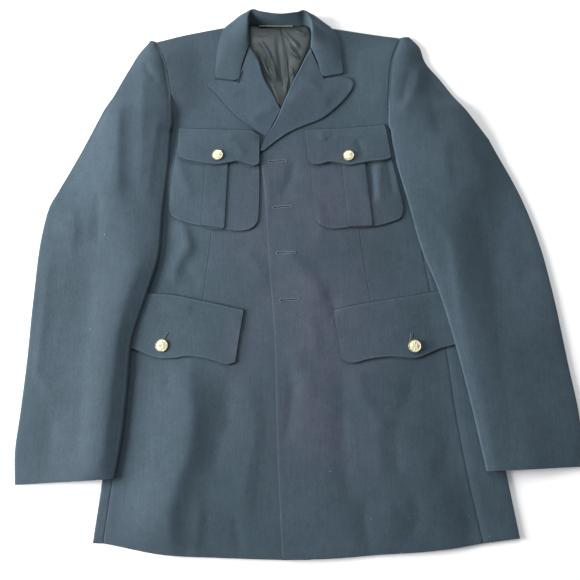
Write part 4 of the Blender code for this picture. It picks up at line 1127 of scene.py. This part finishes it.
def sleeve_under_grid(side):
    """Under sleeve, inside the top sleeve's folds."""
    outside, inside, width, direction = sleeve_rows(side)
    armhole_share = ease(*ARMHOLE_CLOSED, inside[:, 1])
    inset = np.minimum(CLOTH + SEAM_GAP + 1.6, width * 0.42)
    inner_inset = np.maximum(inset * (1 - armhole_share), np.minimum(0.9, width * 0.1))
    start = outside + direction * inset[:, None]
    end = inside - direction * inner_inset[:, None]
    plan = start[:, None] + (end - start)[:, None] * even(SLEEVE_UNDER_COLUMNS)[None, :, None]
    grid = heights(plan, sleeve_under(side, plan[..., 0], plan[..., 1]))
    return grid[:, ::-1] if side == "left" else grid


def lapel_grid(side):
    """Lapel turned back over the front and curled down at its roll line."""
    t = even(LAPEL_ROWS)
    columns = np.concatenate([np.linspace(0, NOTCH_SHARE, LAPEL_COLUMNS[0]),
                              np.linspace(NOTCH_SHARE, 1, LAPEL_COLUMNS[1])[1:]])
    roll = along(LAPEL_ROLL[side], t)
    outer = along(LAPEL_OUTER[side], t)
    start, corner = np.array(LAPEL_TOP[side][:2], float)
    straight = columns[columns <= NOTCH_SHARE][:, None] / NOTCH_SHARE
    beyond = (columns[columns > NOTCH_SHARE] - NOTCH_SHARE) / (1 - NOTCH_SHARE)
    top_line = np.vstack([start + (corner - start) * straight, along(LAPEL_TOP[side][1:], beyond)])
    bottom_line = roll[0] + (outer[0] - roll[0]) * columns[:, None]
    plan = patch(roll, outer, bottom_line, top_line, columns)
    base = body_top(side, plan[..., 0], plan[..., 1]) + LAYER_GAP + CLOTH
    loft = np.clip(np.linalg.norm(outer - roll, axis=1) / 60, 0, 1)[:, None] * (1 - ease(0, 0.85, columns))
    height = base + LAPEL_LOFT * loft
    creased_columns = ease(0, 0.3, columns) * (1 - ease(0.8, 1, columns))
    creased_rows = ease(0, 0.2, t) * (1 - ease(0.8, 1, t))
    creases = folds(plan[..., 0], plan[..., 1], LAPEL_FOLDS[side]) * creased_rows[:, None] * creased_columns
    height = np.maximum(height + creases, base)
    across = plan[:, 4] - plan[:, 0]
    reach = np.linalg.norm(across, axis=1)
    curl = np.minimum(LAPEL_CURL, 0.7 * reach)[:, None] * across / np.maximum(reach, 1e-6)[:, None]
    foot = body_under(side, plan[:, 0, 0], plan[:, 0, 1]) + LAPEL_FOOT
    stations = [heights(plan[:, :1], foot[:, None])]
    for share, fall in LAPEL_TURN:
        stations.append(heights((plan[:, 0] + curl * share)[:, None], height[:, :1] - fall))
    for column in range(1, len(columns)):
        clear = np.linalg.norm(plan[:, column] - plan[:, 0], axis=1) > 1.15 * np.linalg.norm(curl, axis=1)
        spot = np.where(clear[:, None], plan[:, column], plan[:, 0] + curl * (1 + 0.03 * column))
        stations.append(heights(spot[:, None], height[:, column:column + 1]))
    grid = np.concatenate(stations, axis=1)
    return grid[:, ::-1] if side == "right" else grid


def collar_profile(edge, middle, fold, neck):
    """One section of the collar from its outer edge over the fold to the neck."""
    inner_run = np.linalg.norm(neck - fold)
    reach = min(COLLAR_BEND, 0.4 * inner_run)
    before = fold + (middle - fold) / np.linalg.norm(middle - fold) * reach
    after = fold + (neck - fold) / inner_run * reach
    crown = (before + after) / 4 + fold / 2
    leaf = (edge, (edge + middle) / 2, middle, (middle + before) / 2, before)
    stand = (after, (after + neck) / 2, neck)
    return np.vstack([along(leaf, even(COLLAR_COLUMNS[0]))[:-1],
                      along((before, crown, after), even(COLLAR_COLUMNS[1]))[:-1],
                      along(stand, even(COLLAR_COLUMNS[2]))])


def collar_grid():
    """Collar from notch to notch: leaves and fall outside, stand inside."""
    rows = np.array([collar_profile(*np.array(station, float)) for station in COLLAR_STATIONS])
    last = len(rows) - 1
    place = even(COLLAR_ROWS) * last
    cell = np.clip(place.astype(int), 0, last - 1)
    slopes = np.gradient(rows, axis=0)
    grid = hermite(rows[cell], rows[cell + 1], slopes[cell], slopes[cell + 1], (place - cell)[:, None, None])
    grid[..., 2] += body_loft(grid[..., 0], grid[..., 1]) * (1 - ease(*COLLAR_OFF_BODY, grid[..., 2]))
    return grid


def lining_grid(side):
    """Half of the lining that shows in the neck, with its loose creases."""
    seam = along(LINING_SEAM, even(LINING_ROWS[0]))
    if side == "right":
        right = np.vstack([along(LINING_RIGHT_LOWER, even(LINING_ROWS[1]))[:-1], seam - (SEAM_GAP, 0)])
        left = along(LINING_RIGHT_SIDE, even(len(right)))
    else:
        left = seam
        right = along(LINING_LEFT_SIDE, even(LINING_ROWS[0]))
    grid = patch(left, right, np.linspace(left[0], right[0], LINING_COLUMNS),
                 np.linspace(left[-1], right[-1], LINING_COLUMNS))
    across = np.sin(np.pi * even(LINING_COLUMNS))[None, :] ** 0.5
    up = np.sin(np.pi * even(len(left)))[:, None] ** 0.4
    creases = LINING_CREASE * folds(grid[..., 0], grid[..., 1], LINING_FOLDS) + LINING_CROWN
    return heights(grid, CLOTH + LAYER_GAP + np.maximum(creases * across * up, 0))


def label_grid():
    """Bare tape that slopes down from the collar."""
    plan = np.dstack(np.meshgrid(np.linspace(*LABEL_ACROSS), np.linspace(*LABEL_UP)))
    fall = np.linspace(*LABEL_FALL, plan.shape[0])[:, None] + np.zeros(plan.shape[1])
    return heights(plan, CLOTH + LINING + 2 * LAYER_GAP + fall)


def on_body(side, plan, lift):
    """A piece lying on a front panel, raised by lift over its top."""
    return heights(plan, body_top(side, plan[..., 0], plan[..., 1]) + lift)


def pocket_grid(side):
    """Breast pocket with its rounded lower corners."""
    table = POCKET[side]
    left = along(table["left"], even(POCKET_ROWS))
    right = along(table["right"], even(POCKET_ROWS))
    plan = patch(left, right, along(table["bottom"], even(POCKET_COLUMNS)),
                 np.linspace(left[-1], right[-1], POCKET_COLUMNS))
    return on_body(side, plan, POCKET_LIFT)


def pleat_grid(side):
    """Box pleat down the middle of the pocket."""
    left = along(PLEAT_SIDES[side]["left"], even(POCKET_ROWS))
    right = along(PLEAT_SIDES[side]["right"], even(POCKET_ROWS))
    plan = patch(left, right, np.linspace(left[0], right[0], PLEAT_COLUMNS),
                 np.linspace(left[-1], right[-1], PLEAT_COLUMNS))
    return on_body(side, plan, PLEAT_LIFT)


def flap_plan(table, rows, columns):
    """Plan of a flap between its scalloped bottom and its top, and the shares of its rows."""
    top = along(table["top"], even(columns))
    bottom = along(table["bottom"], even(columns))
    t = even(rows)
    return bottom[None] + (top - bottom)[None] * t[:, None, None], t


def breast_flap_grid(side):
    """Scalloped breast flap that drops to the front at its seam."""
    plan, t = flap_plan(BREAST_FLAP[side], *BREAST_FLAP_GRID)
    return on_body(side, plan, FLAP_LIFT - (FLAP_LIFT - POCKET_LIFT) * ease(0.66, 1.0, t)[:, None])


def hip_flap_grid(side):
    """Scalloped hip flap."""
    return on_body(side, flap_plan(HIP_FLAP[side], *HIP_FLAP_GRID)[0], POCKET_LIFT)


def cloth_tone(name, description, default):
    """A colour that the sidebar shows."""
    return bpy.props.FloatVectorProperty(name=name, description=description, size=4, default=default, min=0.0,
                                         max=1.0, subtype="COLOR")


class JacketCloth(bpy.types.PropertyGroup):
    """Sizes and colours of the wool."""

    wale: bpy.props.FloatProperty(name="Wale", description="Distance between two twill wales", default=0.0007,
                                  min=0.0002, max=0.003, unit="LENGTH", precision=5)
    deep: cloth_tone("Deep tone", "Darker dye tone of the wool", (0.0265, 0.0465, 0.059, 1.0))
    light: cloth_tone("Light tone", "Lighter dye tone of the wool", (0.0365, 0.0595, 0.077, 1.0))
    facing: cloth_tone("Facing tone", "Bluer dye tone of the lapel facings", (0.030, 0.049, 0.067, 1.0))
    # The cast is partly painted light: a tint for warmer light in the middle of the waist
    cast: cloth_tone("Cast", "Warmer violet cast of the dye", (0.050, 0.057, 0.080, 1.0))


class JacketTrim(bpy.types.PropertyGroup):
    """Sizes of the buttonhole stitches."""

    stitch: bpy.props.FloatProperty(name="Stitch length", description="Reach of one stitch over the edge",
                                    default=0.0016, min=0.0005, max=0.004, unit="LENGTH", precision=4)
    thread: bpy.props.FloatProperty(name="Thread", description="Thickness of the buttonhole thread",
                                    default=0.0005, min=0.0002, max=0.001, unit="LENGTH", precision=5)


class JacketStage(bpy.types.PropertyGroup):
    """Strength of the studio lights."""

    key_power: bpy.props.FloatProperty(name="Key power", description="Power of the soft window light",
                                       default=66.0, min=0.0, max=500.0, unit="POWER")
    sky: bpy.props.FloatProperty(name="Sky", description="Strength of the room's even light",
                                 default=0.39, min=0.0, max=5.0, subtype="FACTOR")


class JACKET_OT_backs(bpy.types.Operator):
    """Sew the two back halves that lie on the floor"""

    bl_idname = "jacket.backs"
    bl_label = "Backs"

    def execute(self, context):
        for side in SIDES:
            sew_side(side, "back_cloth", "back", back_grid(side), CLOTH, plain_wool(), outline=0.0)
        return {"FINISHED"}


class JACKET_OT_sides(bpy.types.Operator):
    """Sew the side panels round the side folds"""

    bl_idname = "jacket.sides"
    bl_label = "Side panels"

    def execute(self, context):
        for side in SIDES:
            sew_side(side, "side_cloth", "side", side_grid(side), CLOTH, plain_wool(), outside=True,
                     held="folded", outline=0.0)
        return {"FINISHED"}


class JACKET_OT_fronts(bpy.types.Operator):
    """Sew the two fronts, the wearer's left one lapped over the right"""

    bl_idname = "jacket.fronts"
    bl_label = "Fronts"

    def execute(self, context):
        for side in SIDES:
            sew_side(side, "front_cloth", "front", front_grid(side), CLOTH, shell_wool(), "back",
                     outline=0.75)
        return {"FINISHED"}


class JACKET_OT_sleeves(bpy.types.Operator):
    """Sew the top and under sleeves"""

    bl_idname = "jacket.sleeves"
    bl_label = "Sleeves"

    def execute(self, context):
        for side in SIDES:
            sew_side(side, "sleeve_top_cloth", "sleeve_top", sleeve_top_grid(side), CLOTH, plain_wool(),
                     "sleeve_under", outside=True, outline=0.0)
            sew_side(side, "sleeve_under_cloth", "sleeve_under", sleeve_under_grid(side), CLOTH, plain_wool(),
                     "side", outline=0.0)
        return {"FINISHED"}


class JACKET_OT_lapels(bpy.types.Operator):
    """Sew the peaked lapels, rolled back over the fronts"""

    bl_idname = "jacket.lapels"
    bl_label = "Lapels"

    def execute(self, context):
        for side in SIDES:
            sew_side(side, "lapel_cloth", "lapel", lapel_grid(side), CLOTH, facing_wool(), "front",
                     outside=True, held="folded", outline=0.9)
        return {"FINISHED"}


class JACKET_OT_collar(bpy.types.Operator):
    """Sew the folded collar"""

    bl_idname = "jacket.collar"
    bl_label = "Collar"

    def execute(self, context):
        sew("collar_cloth", "collar", collar_grid(), CLOTH, plain_wool(), ["front_left"], outside=True,
            held="folded", outline=0.75)
        return {"FINISHED"}


class JACKET_OT_lining(bpy.types.Operator):
    """Sew the lining in the neck and the bare label"""

    bl_idname = "jacket.lining"
    bl_label = "Lining and label"

    def execute(self, context):
        for side in SIDES:
            sew_side(side, "lining_cloth", "lining", lining_grid(side), LINING, satin_material(), "back",
                     slot="satin", rounded=0.0)
        sew("label_cloth", "neck_label", label_grid(), LABEL, tape_material(), ["lining_left"], slot="tape",
            rounded=0.0)
        return {"FINISHED"}


class JACKET_OT_pockets(bpy.types.Operator):
    """Sew the breast pockets, their box pleats and the four flaps"""

    bl_idname = "jacket.pockets"
    bl_label = "Pockets and flaps"

    def execute(self, context):
        wool = plain_wool()
        for side in SIDES:
            sew_side(side, "pocket_cloth", "breast_pocket", pocket_grid(side), PATCH, wool, "front",
                     rounded=PATCH_ROUND, outline=1.5)
            sew_side(side, "pleat_cloth", "pocket_pleat", pleat_grid(side), PLEAT, wool, "breast_pocket",
                     rounded=PATCH_ROUND, outline=1.2)
            sew_side(side, "breast_flap_cloth", "breast_flap", breast_flap_grid(side), CLOTH, wool, "front",
                     outline=1.6)
            sew_side(side, "hip_flap_cloth", "hip_flap", hip_flap_grid(side), CLOTH, wool, "front",
                     outline=1.6)
        return {"FINISHED"}


def button_base(x, y, radius, kind):
    """Height of the flap's top where a button sits, in metres."""
    side = "left" if x > 0 else "right"
    across = np.array((-radius, 0.0, radius, 0.0, 0.0))
    up = np.array((0.0, -radius, 0.0, radius, 0.0))
    rest = body_top(side, x + across, y + up).max()
    rest += (FLAP_LIFT if kind == "breast" else POCKET_LIFT) + CLOTH + BUTTON_CLEAR
    return (rest - SHIFT[2]) / 1000


def domed_disc(x, y, z, radius):
    """A button's body: a disc whose face is extruded in steps to a low dome."""
    bpy.ops.mesh.primitive_cylinder_add(vertices=64, radius=radius * DISC_SHARE, depth=BUTTON_DISC,
                                        location=(x, y, z + BUTTON_DISC / 2))
    disc = bpy.context.object
    bpy.ops.object.mode_set(mode="EDIT")
    bpy.ops.mesh.select_all(action="DESELECT")
    bpy.ops.object.mode_set(mode="OBJECT")
    for face in disc.data.polygons:
        face.select = face.normal.z > 0.5
    bpy.ops.object.mode_set(mode="EDIT")
    for rise, share in DOME_STEPS:
        bpy.ops.mesh.extrude_region_move(TRANSFORM_OT_translate={"value": (0, 0, rise)})
        bpy.ops.transform.resize(value=(share, share, 1))
    bpy.ops.object.mode_set(mode="OBJECT")
    return disc


def roped_rim(x, y, z, radius):
    """A button's raised rim, twisted like rope."""
    ring, strand = (radius * share for share in ROPE_SHARES)
    bpy.ops.mesh.primitive_torus_add(location=(x, y, z + BUTTON_DISC), major_radius=ring, minor_radius=strand,
                                     major_segments=96, minor_segments=8)
    rope = bpy.context.object
    for vertex in rope.data.vertices:
        angle = math.atan2(vertex.co.y, vertex.co.x)
        outward = math.hypot(vertex.co.x, vertex.co.y) - radius
        vertex.co.z += ROPE_RISE * math.sin(ROPE_STRANDS * angle + ROPE_SLANT * outward)
    return rope


def rosette(x, y, z, radius):
    """Eight petals round a boss, on top of the dome."""
    parts = []
    top = z + ROSETTE_RISE
    for petal in range(PETALS):
        angle = petal * 2 * math.pi / PETALS
        reach = radius * PETAL_REACH
        spot = (x + reach * math.cos(angle), y + reach * math.sin(angle), top)
        bpy.ops.mesh.primitive_uv_sphere_add(segments=12, ring_count=8, radius=1.0, location=spot)
        leaf = bpy.context.object
        leaf.scale = (radius * PETAL_SHARES[0], radius * PETAL_SHARES[1], PETAL_THICK)
        leaf.rotation_euler = (0, 0, angle)
        parts.append(leaf)
    bpy.ops.mesh.primitive_uv_sphere_add(segments=16, ring_count=8, radius=1.0, location=(x, y, top))
    boss = bpy.context.object
    boss.scale = (radius * BOSS_SHARE, radius * BOSS_SHARE, BOSS_THICK)
    return parts + [boss]


class JACKET_OT_buttons(bpy.types.Operator):
    """Turn the four domed gilt buttons, with a roped rim and a plain rosette"""

    bl_idname = "jacket.buttons"
    bl_label = "Buttons"

    def execute(self, context):
        gilt = brass_material("gilt_brass", *GILT)
        dark_gilt = brass_material("dark_gilt", *GILT_PAINTED_SHADE)
        for name, plan_x, plan_y, diameter, kind in BUTTONS:
            radius = diameter / 2000
            x, y = metres((plan_x, plan_y))[:2]
            z = button_base(plan_x, plan_y, diameter / 2, kind)
            bpy.ops.object.select_all(action="DESELECT")
            disc = domed_disc(x, y, z, radius)
            parts = [disc, roped_rim(x, y, z, radius)] + rosette(x, y, z, radius)
            bpy.ops.object.select_all(action="DESELECT")
            for part in parts:
                part.select_set(True)
            context.view_layer.objects.active = disc
            bpy.ops.object.transform_apply(location=True, rotation=True, scale=True)
            bpy.ops.object.join()
            disc.name = name + "_gilt"
            # The rim's outer faces get the darker gilt, painted shade for the shadow gap round the button
            on_rim = [math.hypot(face.center.x - x, face.center.y - y) > radius * RIM_SHARE
                      for face in disc.data.polygons]
            disc.data.materials.clear()
            disc.data.materials.append(gilt)
            disc.data.materials.append(dark_gilt)
            disc.data.polygons.foreach_set("material_index", np.array(on_rim, np.int32))
            finished(disc)
            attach(disc, "root")
            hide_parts(name)
        return {"FINISHED"}


def hole_axes(start, end):
    """A buttonhole's two ends, the direction along it, the one across it and its length."""
    start = np.array(start, float)
    end = np.array(end, float)
    run = np.linalg.norm(end - start)
    forward = (end - start) / run
    return start, end, forward, np.array((-forward[1], forward[0])), run


def stitch_marks(hole, eyelet, slit):
    """Keyhole outline: points and outward directions round the eyelet and both legs."""
    start, end, forward, across, run = hole
    marks = []
    for angle in np.radians(np.linspace(*STITCH_ENDS)):
        away = forward * math.cos(angle) + across * math.sin(angle)
        marks.append((start + away * eyelet * 0.55, away))
    for reach in np.arange(eyelet * 0.7, run, STITCH_STEP):
        marks.append((start + forward * reach + across * slit / 2, across))
        marks.append((start + forward * reach - across * slit / 2, -across))
    for offset in np.linspace(*BAR_STITCHES):
        marks.append((end + forward * 0.2 + across * offset, forward))
    return marks


def close_round(shaper, low, high):
    """Faces between two rings of as many points."""
    for turn in range(len(low)):
        after = (turn + 1) % len(low)
        shaper.faces.new((low[turn], low[after], high[after], high[turn]))


def add_stitch(shaper, spot, away, side, lift, length, half):
    """One arched stitch from the slit outwards."""
    beside = np.array((-away[1], away[0]))
    rings = []
    for share, rise in STITCH_ARCH:
        point = spot + away * length * share
        base = body_top(side, point[:1], point[1:2])[0] + lift
        ring = []
        for turn in range(THREAD_SIDES):
            angle = turn * 2 * math.pi / THREAD_SIDES
            x, y = point + beside * half * math.cos(angle)
            ring.append(shaper.verts.new(placed(np.array((x, y, base + rise + half * math.sin(angle))))))
        rings.append(ring)
    for low, high in zip(rings[:-1], rings[1:]):
        close_round(shaper, low, high)
    shaper.faces.new(rings[0][::-1])
    shaper.faces.new(rings[-1])


def add_slot(shaper, hole, side, lift, eyelet):
    """A thin plate between the stitches, painted near-black as shade in the slit and its round eyelet."""
    start, end, forward, across, run = hole
    outline = []
    for angle in np.radians(np.linspace(*SLOT_ENDS)):
        outline.append(start + forward * math.cos(angle) * eyelet + across * math.sin(angle) * eyelet)
    outline.append(end - across * HALF_SLIT)
    outline.append(end + across * HALF_SLIT)
    low = []
    high = []
    for x, y in outline:
        base = body_top(side, np.array([x]), np.array([y]))[0] + lift
        low.append(shaper.verts.new(placed(np.array((x, y, base + SLOT_HEIGHTS[0])))))
        high.append(shaper.verts.new(placed(np.array((x, y, base + SLOT_HEIGHTS[1])))))
    shaper.faces.new(high)
    shaper.faces.new(low[::-1])
    close_round(shaper, low, high)


class JACKET_OT_buttonholes(bpy.types.Operator):
    """Work the keyhole buttonholes of the front edge and the hip flaps"""

    bl_idname = "jacket.buttonholes"
    bl_label = "Buttonholes"

    def execute(self, context):
        trim = context.scene.jacket_trim
        thread = thread_material("buttonhole_thread", THREAD, 0.5)
        # The plate in each slit is near-black: painted shade in the opening
        slot_painted_shade = thread_material("buttonhole_slot", SLOT_PAINTED_SHADE, 0.02)
        for name, carrier, start, end in BUTTONHOLES:
            side = "right" if name.endswith("right") else "left"
            lift = 0.0 if carrier == "front" else POCKET_LIFT + CLOTH
            ring, slit, eyelet, reach = HOLE_SIZES[carrier]
            hole = hole_axes(start, end)
            shaper = bmesh.new()
            for spot, away in stitch_marks(hole, ring, slit):
                add_stitch(shaper, spot, away, side, lift, trim.stitch * 1000 * reach, trim.thread * 500)
            stitches = len(shaper.faces)
            add_slot(shaper, hole, side, lift, eyelet)
            bmesh.ops.recalc_face_normals(shaper, faces=shaper.faces[:])
            shaper.faces.ensure_lookup_table()
            for index, face in enumerate(shaper.faces):
                face.material_index = 0 if index < stitches else 1
            mesh = bpy.data.meshes.new(name)
            shaper.to_mesh(mesh)
            shaper.free()
            piece = new_piece(name, mesh, thread)
            piece.data.materials.append(slot_painted_shade)
            finished(piece)
            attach(piece, "root")
        return {"FINISHED"}


class JACKET_OT_studio(bpy.types.Operator):
    """Set the white floor, the soft light and the camera"""

    bl_idname = "jacket.studio"
    bl_label = "Studio"

    def execute(self, context):
        scene = context.scene
        settings = scene.jacket_stage
        bpy.ops.object.select_all(action="DESELECT")
        bpy.ops.mesh.primitive_plane_add(size=8.0, location=(0, 0, FLOOR_LEVEL))
        floor = context.object
        bpy.ops.object.transform_apply(location=True, rotation=True, scale=True)
        floor.name = "floor"
        paper, bench, shader, place = new_material("white_floor")
        grey = bench.noise(place, 3.0, 3.0)
        bench.join(bench.mix(grey, *FLOOR), shader.inputs["Base Color"])
        bench.join(bench.between(grey, 0.3, 0.7, 0.85, 0.95), shader.inputs["Roughness"])
        set_sockets(shader, Specular_IOR_Level=0.1)
        floor.data.materials.append(paper)

        world = bpy.data.worlds.new("room")
        scene.world = world
        world.use_nodes = True
        set_sockets(world.node_tree.nodes["Background"], Color=ROOM_LIGHT, Strength=settings.sky)

        for name, spot, aim, size, power, tint in LAMPS:
            lamp = bpy.data.lights.new(name, "AREA")
            lamp.shape = "DISK"
            lamp.size = size
            lamp.energy = settings.key_power * power
            lamp.color = tint
            made = bpy.data.objects.new(name, lamp)
            scene.collection.objects.link(made)
            made.location = spot
            made.rotation_euler = aim_at(spot, aim)

        camera = bpy.data.cameras.new("camera")
        camera.sensor_width = SENSOR
        camera.lens = FOCAL_PIXELS / PICTURE_PIXELS * SENSOR
        camera.clip_start = 0.01
        made = bpy.data.objects.new("camera", camera)
        scene.collection.objects.link(made)
        made.location = tuple(placed(np.array(CAMERA_AT)))
        made.rotation_euler = (math.radians(CAMERA_TILT), 0, 0)
        scene.camera = made
        scene.view_settings.view_transform = "Standard"
        scene.view_settings.look = "None"
        return {"FINISHED"}


def aim_at(spot, aim):
    """Turn of a lamp that looks down its own minus Z at a point."""
    dx, dy, dz = (aim[i] - spot[i] for i in range(3))
    return (math.atan2(math.hypot(dx, dy), -dz), 0.0, math.atan2(dy, dx) - math.pi / 2)


class JACKET_PT_panel(bpy.types.Panel):
    """Buttons that sew the jacket piece by piece"""

    bl_label = "Dress Uniform Jacket"
    bl_idname = "JACKET_PT_panel"
    bl_space_type = "VIEW_3D"
    bl_region_type = "UI"
    bl_category = "Jacket"

    def draw(self, context):
        layout = self.layout
        for settings, names in ((context.scene.jacket_cloth, ("wale", "deep", "light", "facing", "cast")),
                                (context.scene.jacket_trim, ("stitch", "thread")),
                                (context.scene.jacket_stage, ("key_power", "sky"))):
            for name in names:
                layout.prop(settings, name)
        for operator in OPERATORS:
            layout.operator(operator.bl_idname)


SETTINGS = (JacketCloth, JacketTrim, JacketStage)
OPERATORS = (JACKET_OT_studio, JACKET_OT_backs, JACKET_OT_sides, JACKET_OT_fronts, JACKET_OT_sleeves,
             JACKET_OT_lapels, JACKET_OT_collar, JACKET_OT_lining, JACKET_OT_pockets, JACKET_OT_buttons,
             JACKET_OT_buttonholes)


def register():
    for made in SETTINGS + OPERATORS + (JACKET_PT_panel,):
        bpy.utils.register_class(made)
    bpy.types.Scene.jacket_cloth = bpy.props.PointerProperty(type=JacketCloth)
    bpy.types.Scene.jacket_trim = bpy.props.PointerProperty(type=JacketTrim)
    bpy.types.Scene.jacket_stage = bpy.props.PointerProperty(type=JacketStage)


def unregister():
    del bpy.types.Scene.jacket_cloth
    del bpy.types.Scene.jacket_trim
    del bpy.types.Scene.jacket_stage
    for made in reversed(SETTINGS + OPERATORS + (JACKET_PT_panel,)):
        bpy.utils.unregister_class(made)


def main():
    register()
    bpy.ops.jacket.studio()
    bpy.ops.jacket.backs()
    bpy.ops.jacket.sides()
    bpy.ops.jacket.fronts()
    bpy.ops.jacket.sleeves()
    bpy.ops.jacket.lapels()
    bpy.ops.jacket.collar()
    bpy.ops.jacket.lining()
    bpy.ops.jacket.pockets()
    bpy.ops.jacket.buttons()
    bpy.ops.jacket.buttonholes()


if __name__ == "__main__":
    main()
